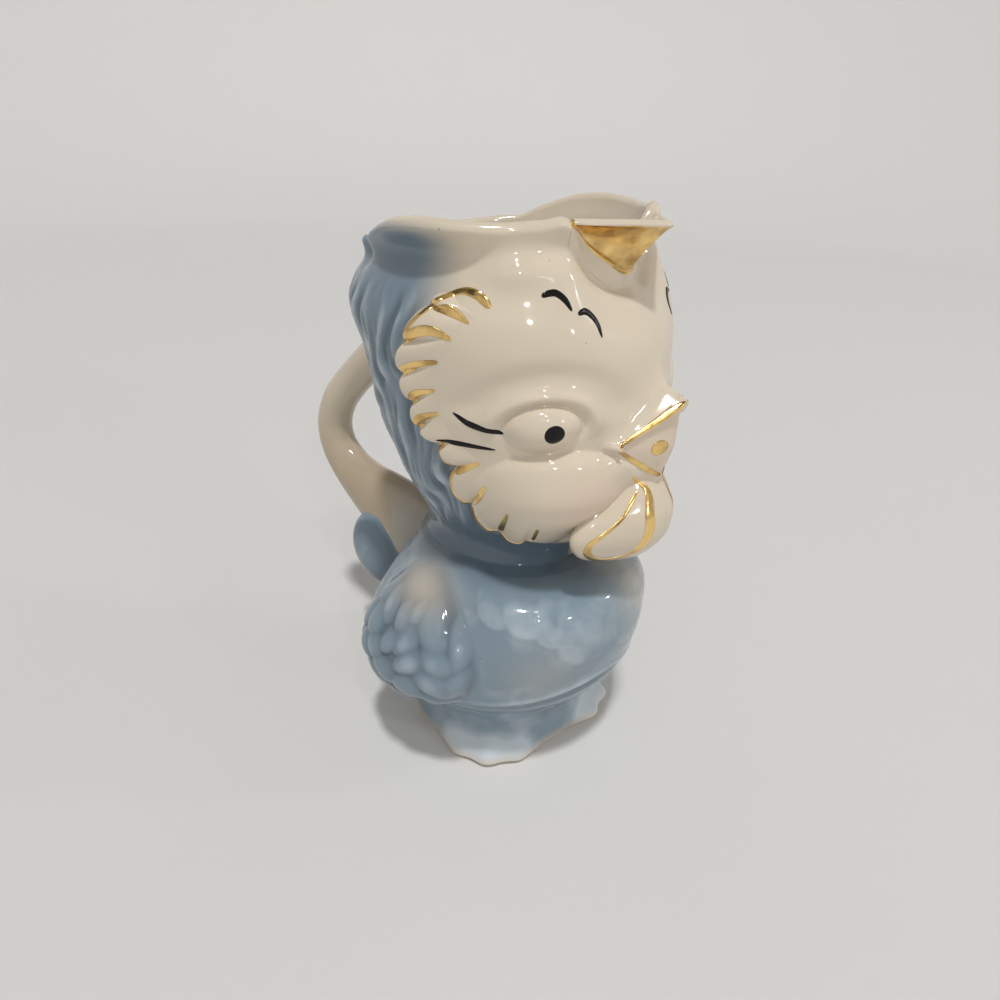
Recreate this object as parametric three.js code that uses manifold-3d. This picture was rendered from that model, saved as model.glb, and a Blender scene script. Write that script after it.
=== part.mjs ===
// A glazed ceramic cream jug in the shape of a plump bird, as the sections that a potter lutes together.
// Millimetres, +Z up. The origin is the middle of the flat face that the jug stands on.
// The bird looks along -Y, so its right side is -X, and the handle is at +Y.

import * as THREE from 'three';
import { ConvexGeometry } from 'three/addons/geometries/ConvexGeometry.js';
import { mergeVertices } from 'three/addons/utils/BufferGeometryUtils.js';
import Module from 'manifold-3d';

// Walls and seams
const WALL = 4.5;
const SEAM_GAP = 0.3;

// Plinth, from the table up
const PLINTH_HEIGHT = 20;
const PLINTH_FOOT_RADIUS = 26.5;
const PLINTH_TOP_RADIUS = 32;
const PLINTH_EDGE_RADIUS = 1.5;
const FLOOR_THICKNESS = 6;

// Wings: oval pads that stand proud of the flanks
const WING_AZIMUTH = 82;
const WING_HEIGHT = 41;
const WING_REACH = 46;
const WING_SWELL = 5.2;
const WING_THICKNESS = 13;
const WING_WIDTH = 44;
const WING_LENGTH = 38;
const WING_LEAN = 16;
// Tufts of down on the wing: places in shares of half its width and half its length
const TUFT_SHARES = [
  [-0.64, 0.68], [-0.23, 0.79], [0.23, 0.74], [0.59, 0.42], [-0.73, 0.21], [-0.36, 0.32], [0.05, 0.26],
  [0.41, 0], [-0.59, -0.21], [-0.18, -0.21], [0.18, -0.47], [-0.41, -0.63], [0.59, -0.53], [-0.05, -0.79],
];
const TUFT_SIZE = 10;
const TUFT_SWELL = 1.6;

// Body: radius at each height above the plinth, towards the chest, the sides and the back
// The flanks lie under the wings, so their outline is measured inwards from their widest place
const BODY_TURN = 12;
const NECK_RADIUS = 24.5;
const NECK_HEIGHT = 64;
const BODY_RISE = NECK_HEIGHT - PLINTH_HEIGHT;
const BODY_LEVELS = [0, 0.09, 0.2, 0.37, 0.54, 0.7, 0.83, 0.925, 1];
const CHEST_RADII = [PLINTH_TOP_RADIUS, 35, 38.7, 41.2, 42.5, 42.6, 41.4, 37.4, NECK_RADIUS];
const FLANK_RADIUS = WING_REACH - WING_SWELL;
const FLANK_INSETS = [5.6, 1.6, 0.4, 2.2, 6.4, 10.8, 13.8];
const FLANK_RADII = [PLINTH_TOP_RADIUS, ...FLANK_INSETS.map((inset) => FLANK_RADIUS - inset), NECK_RADIUS];
const RUMP_RADIUS_AT_HANDLE = 31;
const RUMP_RADII = [
  PLINTH_TOP_RADIUS, 35, 38.6, 39.2, 35, RUMP_RADIUS_AT_HANDLE, 27.6, 25.4, NECK_RADIUS,
];

// Head: radius and height above the neck seam, towards the face, the sides and the back
// It is as broad as the body, so its side outline is measured inwards from the flank
const HEAD_RISE = 81.5;
const RIM_DROP_AT_BACK = 7;
const HEAD_LEVELS = [0, 0.06, 0.17, 0.31, 0.48, 0.65, 0.79, 0.9, 0.955, 1];
const FACE_RADII = [NECK_RADIUS, 26, 30.6, 35.8, 39.4, 40.4, 38.2, 33.4, 31, 32.6];
const SIDE_INSETS = [17.2, 13.8, 8.4, 4, 1.4, 0.4, 4, 5.8, 1.2];
const SIDE_RADII = [NECK_RADIUS, ...SIDE_INSETS.map((inset) => FLANK_RADIUS - inset)];
const NAPE_RADII = [NECK_RADIUS, 22.6, 25.6, 31, 35.6, 38, 41, 39.8, 38, 37.8];
const CHEEK_SWELL = 7;
const CHEEK_AZIMUTH = 37;
const CHEEK_HEIGHT = 25;
const CHEEK_HALF_ANGLE = 22;
const CHEEK_HALF_HEIGHT = 11.5;

// Pouring lip at the front of the rim
const LIP_HALF_WIDTH = 17;
const LIP_REACH = 38.5;
const LIP_CORNER_REACH = 27;
const LIP_DEPTH = 12;
const LIP_RISE = 1.6;
const LIP_WALL = 2.6;

// Handle: a round bar in the plane X = 0
// Its route between the roots and the bend is given in shares of the way out and of the fall
const HANDLE_RADIUS = 5.4;
const HANDLE_REACH = 80.4;
const HANDLE_TOP_HEIGHT = 112;
const HANDLE_ROOT_RISE = 1;
const HANDLE_BEND_HEIGHT = 76;
const HANDLE_FOOT_HEIGHT = 52;
const HANDLE_FOOT_SWELL = 8.5;
const HANDLE_FOOT_WIDTH = 14.04;
const HANDLE_FOOT_LENGTH = 34;
const HANDLE_FOOT_LEAN = 12;
const UPPER_ROUTE_SHARES = [[0.27, 0.88], [0.7, 0.49]];
const LOWER_ROUTE_SHARES = [[0.75, 0.6], [0.38, 0.86]];

// Tail: a fan of feather lobes
const TAIL_LOBES = 3;
const TAIL_LOBE_ANGLE = 10;
const TAIL_REACH = 60;
const TAIL_HEIGHT = 34;
const TAIL_LOBE_LENGTH = 30;
const TAIL_LOBE_DEPTH = 26;
const TAIL_LOBE_WIDTH = 14;

// Feet: three toes in front of the plinth on each side
const FOOT_AZIMUTH = 42;
const FOOT_REACH = 32.5;
const FOOT_HEIGHT = 11;
const FOOT_LENGTH = 22;
const TOE_WIDTH = 12;
const TOE_ANGLE = 16;
const TOES = 3;

// Eyes
const EYE_AZIMUTH = 43;
const EYE_HEIGHT = 44.5;
const EYE_WIDTH = 17;
const EYE_TALL = 12;
const EYE_SWELL = 3;
const EYE_DEPTH = 5;

// Beak, heights above the neck seam
const BEAK_HALF_WIDTH = 13;
const BEAK_CORNER_HEIGHT = 38.5;
const BEAK_TOP_HEIGHT = 52;
const BEAK_TIP_HEIGHT = 48.5;
const BEAK_TIP_REACH = 48.5;
const BEAK_BOTTOM_HEIGHT = 28.5;
const BEAK_BOTTOM_REACH = 45;
const CHIN_HEIGHT = 22;
const BEAK_ROOT_REACH = 36.5;
const TONGUE_RADIUS = 6;
const TONGUE_REACH = 46.5;

// Wattles
const WATTLE_OFFSET = 9;
const WATTLE_HEIGHT = 19;
const WATTLE_REACH = 46.5;
const WATTLE_WIDTH = 15;
const WATTLE_DEPTH = 18;
const WATTLE_LENGTH = 27;
const WATTLE_SPLAY = 12;

// Fringe round the face: lobes along a curve of azimuths and heights above the neck seam
const FRINGE_AZIMUTHS = [70, 79, 78, 70, 66, 56, 44];
const FRINGE_HEIGHTS = [68, 60, 50, 37, 27, 18, 14];
const FRINGE_LOBES = 10;
const FRINGE_LOBE_LENGTH = 15;
const FRINGE_LOBE_WIDTH = 12;
const FRINGE_SWELL = 2;
const FRINGE_DEPTH = 4;

// Fineness of the round forms
const ROUND_STEPS = 40;
const PROFILE_STEPS = 13;
const LIP_STEPS = 4;
const BALL_STEPS = 12;
const BAR_SIDES = 6;
const BAR_STEPS = 20;
const MERGE_DISTANCE = 1e-4;
const SAFE_MARGIN = 1;
const RIGHT_ANGLE = 90;

const { degToRad } = THREE.MathUtils;
const wasm = await Module();
wasm.setup();

// Solids for joining and cutting

function solidFrom(geometry) {
  const bare = geometry.index ? geometry.toNonIndexed() : geometry.clone();
  bare.deleteAttribute('normal');
  bare.deleteAttribute('uv');
  const merged = mergeVertices(bare, MERGE_DISTANCE);
  const corners = merged.index.array;
  const triangles = [];
  for (let start = 0; start < corners.length; start += 3) {
    const [a, b, c] = corners.slice(start, start + 3);
    if (a !== b && b !== c && c !== a) {
      triangles.push(a, b, c);
    }
  }
  return new wasm.Manifold(new wasm.Mesh({
    numProp: 3,
    vertProperties: merged.attributes.position.array,
    triVerts: new Uint32Array(triangles),
  }));
}

function geometryFrom(solid) {
  const mesh = solid.getMesh();
  const geometry = new THREE.BufferGeometry();
  geometry.setAttribute('position', new THREE.BufferAttribute(mesh.vertProperties, 3));
  geometry.setIndex(new THREE.BufferAttribute(mesh.triVerts, 1));
  geometry.computeVertexNormals();
  return geometry;
}

const joined = (solids) => solids.reduce((whole, solid) => whole.add(solid));

// Points round the jug: azimuth in degrees from the front, positive towards the bird's right

function around(azimuth, radius, height) {
  const turn = degToRad(azimuth);
  return new THREE.Vector3(-radius * Math.sin(turn), -radius * Math.cos(turn), height);
}

// A ball of three sizes, leaning back about its width, turned to an azimuth and set at a point
function ball(width, depth, tall, centre, azimuth = 0, lean = 0, roll = 0) {
  const geometry = new THREE.SphereGeometry(0.5, BALL_STEPS, BALL_STEPS / 2 + 2);
  geometry.scale(width, depth, tall);
  geometry.rotateY(degToRad(roll));
  geometry.rotateX(degToRad(lean));
  geometry.rotateZ(degToRad(-azimuth));
  geometry.translate(centre.x, centre.y, centre.z);
  return solidFrom(geometry);
}

// Round forms whose outline changes from the front to the sides and the back

function outline(radii, levels, rise, bottom, drop, grow) {
  const points = radii.map((radius, index) => {
    const lowered = drop * levels[index] ** 4;
    return new THREE.Vector2(radius + grow, bottom + rise * levels[index] - lowered);
  });
  return new THREE.SplineCurve(points).getPoints(PROFILE_STEPS);
}

function innerOutline(outer) {
  return outer.map((point, index) => {
    const before = outer[Math.max(index - 1, 0)];
    const after = outer[Math.min(index + 1, outer.length - 1)];
    const along = after.clone().sub(before).normalize();
    const level = index === 0 || index === outer.length - 1;
    const inward = level ? new THREE.Vector2(-1, 0) : new THREE.Vector2(-along.y, along.x);
    return point.clone().addScaledVector(inward, WALL);
  });
}

function roundedEdge(outerEnd, innerEnd) {
  const middle = outerEnd.clone().add(innerEnd).multiplyScalar(0.5);
  const radius = outerEnd.distanceTo(innerEnd) / 2;
  const edge = [];
  for (let step = 1; step < LIP_STEPS; step += 1) {
    const angle = (Math.PI * step) / LIP_STEPS;
    edge.push(new THREE.Vector2(middle.x + radius * Math.cos(angle), middle.y + radius * Math.sin(angle)));
  }
  return edge;
}

// A closed wall with a rounded top edge, or a flat one where another section sits on it
function wallSection(outer, topIsRim) {
  const inner = innerOutline(outer);
  const edge = topIsRim ? roundedEdge(outer.at(-1), inner.at(-1)) : [];
  return [...outer, ...edge, ...inner.reverse(), outer[0]];
}

// The same outline filled to the axis, for cutting what is luted on to it
function filledSection(outer, topHeight) {
  return [new THREE.Vector2(0, outer[0].y), ...outer, new THREE.Vector2(0, topHeight)];
}

// The outline in one direction: the front or back one, easing into the side one, with any swelling
function outlineAt(outlines, turn, swell) {
  const end = Math.cos(turn) > 0 ? outlines.front : outlines.back;
  const share = 1 - Math.sin(turn) ** 4;
  return outlines.side.map((point, row) => {
    const blended = point.clone().lerp(end[row], share);
    blended.x += swell(turn, blended.y);
    return blended;
  });
}

function roundForm(outlines, swell, makeSection) {
  const geometry = new THREE.LatheGeometry(makeSection(outlines.side), ROUND_STEPS);
  const position = geometry.attributes.position;
  for (let column = 0; column <= ROUND_STEPS; column += 1) {
    const turn = (2 * Math.PI * (column % ROUND_STEPS)) / ROUND_STEPS;
    const points = makeSection(outlineAt(outlines, turn, swell));
    points.forEach((point, row) => {
      const place = column * points.length + row;
      position.setXYZ(place, point.x * Math.sin(turn), -point.x * Math.cos(turn), point.y);
    });
  }
  return geometry;
}

// Plinth: a low cup whose floor closes the jug

function plinthSection(grow) {
  const footRadius = PLINTH_FOOT_RADIUS + grow;
  const topRadius = PLINTH_TOP_RADIUS + grow;
  return [
    new THREE.Vector2(0, -grow),
    new THREE.Vector2(footRadius - PLINTH_EDGE_RADIUS, -grow),
    new THREE.Vector2(footRadius, PLINTH_EDGE_RADIUS),
    new THREE.Vector2(topRadius, PLINTH_HEIGHT + grow),
  ];
}

function plinthForm() {
  const cup = [
    new THREE.Vector2(PLINTH_TOP_RADIUS - WALL, PLINTH_HEIGHT),
    new THREE.Vector2(PLINTH_FOOT_RADIUS - WALL, FLOOR_THICKNESS),
    new THREE.Vector2(0, FLOOR_THICKNESS),
  ];
  return latheSolid([...plinthSection(0), ...cup]);
}

function plinthFilled() {
  return latheSolid([...plinthSection(SEAM_GAP), new THREE.Vector2(0, PLINTH_HEIGHT + SEAM_GAP)]);
}

function latheSolid(section) {
  return solidFrom(new THREE.LatheGeometry(section, ROUND_STEPS).rotateX(Math.PI / 2));
}

// Body and head: closed walls, and the same forms filled and grown by the seam gap

const noSwell = () => 0;

function bodyOutlines(grow) {
  const bottom = PLINTH_HEIGHT + SEAM_GAP;
  const rise = BODY_RISE - SEAM_GAP;
  const made = (radii) => outline(radii, BODY_LEVELS, rise, bottom, 0, grow);
  return { front: made(CHEST_RADII), side: made(FLANK_RADII), back: made(RUMP_RADII) };
}

function headOutlines(grow) {
  const bottom = NECK_HEIGHT + SEAM_GAP;
  const made = (radii, drop) => outline(radii, HEAD_LEVELS, HEAD_RISE, bottom, drop, grow);
  return { front: made(FACE_RADII, 0), side: made(SIDE_RADII, 0), back: made(NAPE_RADII, RIM_DROP_AT_BACK) };
}

function cheekSwell(turn, height) {
  const azimuth = Math.abs(THREE.MathUtils.radToDeg(Math.atan2(Math.sin(turn), Math.cos(turn))));
  const across = (azimuth - CHEEK_AZIMUTH) / CHEEK_HALF_ANGLE;
  const up = (height - NECK_HEIGHT - CHEEK_HEIGHT) / CHEEK_HALF_HEIGHT;
  return CHEEK_SWELL * Math.exp(-across * across - up * up);
}

function bodySolid(makeSection, grow) {
  const form = roundForm(bodyOutlines(grow), noSwell, makeSection);
  return solidFrom(form.rotateZ(degToRad(-BODY_TURN)));
}

function headSolid(makeSection, grow) {
  return solidFrom(roundForm(headOutlines(grow), cheekSwell, makeSection));
}

// Radius of the head at an azimuth and a height, read from its outline there
function headRadius(azimuth, height) {
  const points = outlineAt(headOutlines(0), degToRad(azimuth), cheekSwell);
  const above = Math.max(1, points.findIndex((point) => point.y >= height));
  const [low, high] = [points[above - 1], points[above]];
  return THREE.MathUtils.mapLinear(height, low.y, high.y, low.x, high.x);
}

// Pouring lip: the bow of a small boat, cut into the front of the rim

const RIM_HEIGHT = NECK_HEIGHT + SEAM_GAP + HEAD_RISE + WALL / 2;
const LIP_HEIGHT = RIM_HEIGHT + LIP_RISE;

function lipWedge(inset, rearReach, topRise) {
  const spread = (LIP_DEPTH + topRise) / LIP_DEPTH;
  const rootReach = LIP_CORNER_REACH + WALL - inset;
  const tipReach = rootReach + (LIP_REACH - LIP_CORNER_REACH - WALL - inset) * spread;
  const halfWidth = (LIP_HALF_WIDTH - inset) * spread;
  const low = LIP_HEIGHT - LIP_DEPTH + inset;
  const top = LIP_HEIGHT + topRise;
  return solidFrom(new ConvexGeometry([
    new THREE.Vector3(halfWidth, -LIP_CORNER_REACH, top),
    new THREE.Vector3(-halfWidth, -LIP_CORNER_REACH, top),
    new THREE.Vector3(halfWidth, -rearReach, top),
    new THREE.Vector3(-halfWidth, -rearReach, top),
    new THREE.Vector3(0, -tipReach, top),
    new THREE.Vector3(0, -rootReach, low),
    new THREE.Vector3(0, -rearReach, low),
  ]));
}

const lipRearReach = LIP_CORNER_REACH - WALL;
const lipOuter = lipWedge(0, lipRearReach, 0);
const lipHollow = lipWedge(LIP_WALL, lipRearReach - SAFE_MARGIN, SAFE_MARGIN);
const lipNotch = lipWedge(-SEAM_GAP, lipRearReach - WALL, SAFE_MARGIN);

// Shells and the forms that cut their neighbours

const plinth = plinthForm();
const plinthCut = plinthFilled();
const bodyCut = bodySolid((outer) => filledSection(outer, NECK_HEIGHT + SEAM_GAP), SEAM_GAP);
const headCut = headSolid((outer) => filledSection(outer, RIM_HEIGHT), SEAM_GAP);
const bodyShell = bodySolid((outer) => wallSection(outer, false), 0);
const headShell = headSolid((outer) => wallSection(outer, true), 0).subtract(lipNotch);
const pouringLip = lipOuter.subtract(lipHollow);

// Tail

function tailForm(grow) {
  const lobes = [];
  for (let lobe = 0; lobe < TAIL_LOBES; lobe += 1) {
    const azimuth = 180 + (lobe - (TAIL_LOBES - 1) / 2) * TAIL_LOBE_ANGLE;
    const centre = around(azimuth, TAIL_REACH - TAIL_LOBE_LENGTH / 2, TAIL_HEIGHT);
    lobes.push(ball(
      TAIL_LOBE_WIDTH + 2 * grow,
      TAIL_LOBE_LENGTH + 2 * grow,
      TAIL_LOBE_DEPTH + 2 * grow,
      centre,
      azimuth,
    ));
  }
  return joined(lobes);
}

const tail = tailForm(0).subtract(bodyCut);

// Handle: the bar runs from inside the head to inside the body, and the cuts seat it on both

function handleForm() {
  const bend = HANDLE_REACH - HANDLE_RADIUS;
  const upperRoot = headRadius(180, HANDLE_TOP_HEIGHT);
  const lowerRoot = RUMP_RADIUS_AT_HANDLE;
  const between = (root, fall, shares) => shares.map(([out, down]) => (
    new THREE.Vector3(0, root + (bend - root) * out, HANDLE_BEND_HEIGHT + fall * down)
  ));
  const route = new THREE.CatmullRomCurve3([
    new THREE.Vector3(0, upperRoot - WALL, HANDLE_TOP_HEIGHT + HANDLE_ROOT_RISE),
    ...between(upperRoot, HANDLE_TOP_HEIGHT - HANDLE_BEND_HEIGHT, UPPER_ROUTE_SHARES),
    new THREE.Vector3(0, bend, HANDLE_BEND_HEIGHT),
    ...between(lowerRoot, HANDLE_FOOT_HEIGHT - HANDLE_BEND_HEIGHT, LOWER_ROUTE_SHARES),
    new THREE.Vector3(0, lowerRoot - WALL, HANDLE_FOOT_HEIGHT),
  ]);
  const section = new THREE.Shape();
  section.absarc(0, 0, HANDLE_RADIUS, 0, 2 * Math.PI);
  const bar = solidFrom(new THREE.ExtrudeGeometry(section, {
    curveSegments: BAR_SIDES,
    steps: BAR_STEPS,
    bevelEnabled: false,
    extrudePath: route,
  }));
  const swellCentre = new THREE.Vector3(0, lowerRoot + HANDLE_FOOT_SWELL, HANDLE_FOOT_HEIGHT);
  const swellTall = 2 * HANDLE_FOOT_SWELL;
  const swell = ball(HANDLE_FOOT_WIDTH, HANDLE_FOOT_LENGTH, swellTall, swellCentre, 0, HANDLE_FOOT_LEAN);
  return bar.add(swell);
}

const handle = handleForm().subtract(headCut).subtract(bodyCut).subtract(tailForm(SEAM_GAP));

// Wings, feet, eyes, wattles and fringe, for one side and then the other: +1 is the bird's right

// A tuft stands on the pad's round surface: the pad is an oval, so its depth falls off towards its edge
function wingTuft(side, [acrossShare, upShare]) {
  const azimuth = BODY_TURN + side * WING_AZIMUTH;
  const across = (acrossShare * WING_WIDTH) / 2;
  const up = (upShare * WING_LENGTH) / 2;
  const fall = 1 - Math.sqrt(1 - acrossShare ** 2 - upShare ** 2);
  const lean = up * Math.tan(degToRad(WING_LEAN));
  const reach = WING_REACH - WING_THICKNESS * fall - lean;
  const centre = around(azimuth, reach + TUFT_SWELL - TUFT_SIZE / 2, WING_HEIGHT + up);
  centre.add(around(azimuth + side * RIGHT_ANGLE, across, 0));
  return ball(TUFT_SIZE, TUFT_SIZE, TUFT_SIZE, centre, azimuth);
}

function wingForm(side) {
  const azimuth = BODY_TURN + side * WING_AZIMUTH;
  const centre = around(azimuth, WING_REACH - WING_THICKNESS, WING_HEIGHT);
  const pad = ball(WING_WIDTH, 2 * WING_THICKNESS, WING_LENGTH, centre, azimuth, -WING_LEAN);
  return joined([pad, ...TUFT_SHARES.map((shares) => wingTuft(side, shares))])
    .subtract(bodyCut)
    .subtract(plinthCut);
}

const belowTable = solidFrom(new THREE.BoxGeometry(4 * FOOT_REACH, 4 * FOOT_REACH, 2 * FOOT_HEIGHT)
  .translate(0, 0, -FOOT_HEIGHT));

function footForm(side) {
  const toes = [];
  for (let toe = 0; toe < TOES; toe += 1) {
    const spread = (toe - (TOES - 1) / 2) * TOE_ANGLE;
    const azimuth = BODY_TURN + side * FOOT_AZIMUTH + spread;
    const centre = around(azimuth, FOOT_REACH - FOOT_LENGTH / 2, 0);
    toes.push(ball(TOE_WIDTH, FOOT_LENGTH, 2 * FOOT_HEIGHT, centre, azimuth));
  }
  return joined(toes).subtract(belowTable).subtract(plinthCut).subtract(bodyCut);
}

function eyeForm(side) {
  const height = NECK_HEIGHT + EYE_HEIGHT;
  const surface = headRadius(EYE_AZIMUTH, height);
  const centre = around(side * EYE_AZIMUTH, surface + EYE_SWELL - EYE_DEPTH, height);
  return ball(EYE_WIDTH, 2 * EYE_DEPTH, EYE_TALL, centre, side * EYE_AZIMUTH).subtract(headCut);
}

function fringeForm(side) {
  const knots = FRINGE_AZIMUTHS.map((azimuth, index) => new THREE.Vector2(azimuth, FRINGE_HEIGHTS[index]));
  const curve = new THREE.SplineCurve(knots);
  const lobes = [];
  for (const point of curve.getSpacedPoints(FRINGE_LOBES - 1)) {
    const height = NECK_HEIGHT + point.y;
    const reach = headRadius(point.x, height) + FRINGE_SWELL - FRINGE_DEPTH;
    const centre = around(side * point.x, reach, height);
    lobes.push(ball(FRINGE_LOBE_LENGTH, 2 * FRINGE_DEPTH, FRINGE_LOBE_WIDTH, centre, side * point.x));
  }
  return joined(lobes).subtract(headCut);
}

// Beak: two wedges that open forward, and the tongue between them

function beakWedge(rise, tipReach, tipHeight, rootHeight, grow) {
  const halfWidth = BEAK_HALF_WIDTH + grow;
  const corner = NECK_HEIGHT + BEAK_CORNER_HEIGHT + rise * (SEAM_GAP / 2 - grow);
  const rootReach = headRadius(0, NECK_HEIGHT + rootHeight) + grow;
  return solidFrom(new ConvexGeometry([
    new THREE.Vector3(halfWidth, -BEAK_ROOT_REACH, corner),
    new THREE.Vector3(-halfWidth, -BEAK_ROOT_REACH, corner),
    new THREE.Vector3(0, grow - BEAK_ROOT_REACH, corner),
    new THREE.Vector3(0, -tipReach - grow, NECK_HEIGHT + tipHeight - rise * grow),
    new THREE.Vector3(0, -rootReach, NECK_HEIGHT + rootHeight + rise * grow),
  ]));
}

const upperWedge = (grow) => beakWedge(1, BEAK_TIP_REACH, BEAK_TIP_HEIGHT, BEAK_TOP_HEIGHT, grow);
const lowerWedge = (grow) => beakWedge(-1, BEAK_BOTTOM_REACH, BEAK_BOTTOM_HEIGHT, CHIN_HEIGHT, grow);
const beakCut = upperWedge(SEAM_GAP).add(lowerWedge(SEAM_GAP));
const upperBeak = upperWedge(0).subtract(headCut);
const lowerBeak = lowerWedge(0).subtract(headCut);

const tongueCentre = around(0, TONGUE_REACH - TONGUE_RADIUS, NECK_HEIGHT + BEAK_CORNER_HEIGHT);
const tongue = ball(2 * TONGUE_RADIUS, 2 * TONGUE_RADIUS, 2 * TONGUE_RADIUS, tongueCentre)
  .subtract(beakCut)
  .subtract(headCut);

function wattleForm(side) {
  const height = NECK_HEIGHT + WATTLE_HEIGHT;
  const centre = new THREE.Vector3(-side * WATTLE_OFFSET, WATTLE_DEPTH / 2 - WATTLE_REACH, height);
  const lobe = ball(WATTLE_WIDTH, WATTLE_DEPTH, WATTLE_LENGTH, centre, 0, 0, side * WATTLE_SPLAY);
  const otherSide = new THREE.BoxGeometry(2 * WATTLE_WIDTH, 2 * WATTLE_REACH, 2 * WATTLE_LENGTH)
    .translate(side * (WATTLE_WIDTH - SEAM_GAP / 2), -WATTLE_REACH, height);
  return lobe.subtract(solidFrom(otherSide)).subtract(headCut).subtract(bodyCut).subtract(beakCut);
}

// Finishes

const blueGlaze = { color: 0x9db7d3, roughness: 0.12, metalness: 0 };
const creamGlaze = { color: 0xe9e0d2, roughness: 0.12, metalness: 0 };
const rosyGlaze = { color: 0xe3c3b4, roughness: 0.15, metalness: 0 };
const gilt = { color: 0xc9973f, roughness: 0.2, metalness: 1 };

// Assembly: the +1 side is the bird's right

const bird = new THREE.Group();

function section(name, solid, finish) {
  const mesh = new THREE.Mesh(geometryFrom(solid), new THREE.MeshStandardMaterial(finish));
  mesh.name = name;
  bird.add(mesh);
}

section('plinth', plinth, blueGlaze);
section('body_shell', bodyShell, blueGlaze);
section('head_shell', headShell, creamGlaze);
section('pouring_lip', pouringLip, gilt);
section('handle', handle, creamGlaze);
section('tail', tail, blueGlaze);
section('upper_beak', upperBeak, creamGlaze);
section('lower_beak', lowerBeak, creamGlaze);
section('tongue', tongue, rosyGlaze);

for (const [name, side] of [['right', 1], ['left', -1]]) {
  section(`${name}_wing`, wingForm(side), blueGlaze);
  section(`${name}_foot`, footForm(side), blueGlaze);
  section(`${name}_eye`, eyeForm(side), creamGlaze);
  section(`${name}_fringe`, fringeForm(side), creamGlaze);
  section(`${name}_wattle`, wattleForm(side), creamGlaze);
}

export default bird;
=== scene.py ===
# %% [markdown]
# A cream jug in the shape of a bird
#
# The real jug is slip-cast earthenware: pale blue and cream glaze, gilt lines and a few black brush strokes.
# This lesson dresses the solid sections of the jug, which are loaded first as a fixed frame in metres.
# Every piece below is laid out in millimetres and made smaller by MM as its last step.

from math import radians

import bmesh
import bpy
import numpy as np
from mathutils import Matrix, Vector
from mathutils.bvhtree import BVHTree
from mathutils.kdtree import KDTree


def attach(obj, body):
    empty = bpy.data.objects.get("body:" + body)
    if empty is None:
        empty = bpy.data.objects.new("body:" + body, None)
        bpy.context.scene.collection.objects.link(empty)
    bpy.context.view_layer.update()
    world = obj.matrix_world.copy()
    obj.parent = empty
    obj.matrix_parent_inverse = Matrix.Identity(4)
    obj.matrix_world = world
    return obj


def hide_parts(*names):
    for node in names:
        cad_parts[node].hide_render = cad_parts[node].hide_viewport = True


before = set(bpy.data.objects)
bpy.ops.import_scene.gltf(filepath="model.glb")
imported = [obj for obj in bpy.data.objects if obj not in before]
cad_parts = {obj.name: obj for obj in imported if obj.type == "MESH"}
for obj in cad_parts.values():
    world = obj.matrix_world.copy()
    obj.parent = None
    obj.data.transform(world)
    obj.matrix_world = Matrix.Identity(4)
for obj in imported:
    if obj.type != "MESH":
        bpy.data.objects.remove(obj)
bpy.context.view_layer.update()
MM = 0.001

# %% [markdown]
# The camera
#
# The view is close and from above, as a phone is held over a table, so near parts look large.
# A short lens close to the jug gives that. A long lens from far away would flatten the head.

# %% Set up the camera
CAMERA_PLACE = (-143.2, -101.5, 161.0)
CAMERA_HEADING = -54.0
CAMERA_DOWNWARD = 26.9
CAMERA_ROLL = 2.44
CAMERA_LENS = 24.48
NEAREST_SEEN = 10

camera = bpy.data.objects.new("camera", bpy.data.cameras.new("camera"))
camera.data.lens = CAMERA_LENS
camera.data.clip_start = NEAREST_SEEN * MM
camera.matrix_world = (
    Matrix.Translation(Vector(CAMERA_PLACE) * MM)
    @ Matrix.Rotation(radians(CAMERA_HEADING), 4, "Z")
    @ Matrix.Rotation(radians(90 - CAMERA_DOWNWARD), 4, "X")
    @ Matrix.Rotation(radians(CAMERA_ROLL), 4, "Z")
)
bpy.context.scene.collection.objects.link(camera)
bpy.context.scene.camera = camera
print("camera:", camera.data.lens, "mm lens at", CAMERA_PLACE)

# %% [markdown]
# Shapes as formulas over the surface
#
# A modelled bird has few flat or round parts, so it could be sculpted by hand with brushes.
# Here each brush stroke is a small formula of azimuth and height instead, and numpy moves all vertices
# at once. Azimuth is in degrees from the beak, positive towards the bird's right, which is -X.

# %% Helpers for formulas
def smooth_through(knots, values):
    """A smooth function that passes through the values at the knots."""
    knots = np.array(knots, float)
    values = np.array(values, float)
    slopes = np.gradient(values, knots)

    def at(place):
        place = np.clip(place, knots[0], knots[-1])
        low = np.clip(np.searchsorted(knots, place, side="right") - 1, 0, len(knots) - 2)
        span = knots[low + 1] - knots[low]
        t = (place - knots[low]) / span
        from_low = values[low] * (1 + 2 * t) + span * slopes[low] * t
        from_high = values[low + 1] * (3 - 2 * t) - span * slopes[low + 1] * (1 - t)
        return from_low * (1 - t) ** 2 + from_high * t**2

    return at


def ease(start, end, value):
    """0 up to the start, 1 from the end on, and a soft step between them."""
    t = np.clip((value - start) / (end - start), 0, 1)
    return t * t * (3 - 2 * t)


def hump(distance, width):
    """1 at no distance, and falling away softly over the width."""
    return np.exp(-((distance / width) ** 2))


def band(shape, distance):
    """A raised or sunk band, from its height, its place and its width."""
    lift, place, width = shape
    return lift * hump(distance - place, width)


def mound(azimuth, height, place, half):
    """A round swelling: 1 at its place, and falling away over its half width and half height."""
    return hump(azimuth - place[0], half[0]) * hump(height - place[1], half[1])


def oval(across, up, half_across, half_up, half_down):
    """How far out a place is in an oval: 0 in the middle and 1 on its edge."""
    return np.hypot(across / half_across, up / np.where(up > 0, half_up, half_down))


def dome(out, power):
    """1 in the middle of an oval and 0 from its edge on: steep at the edge where the power is low."""
    return np.clip(1 - out**2, 0, 1) ** power


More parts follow.
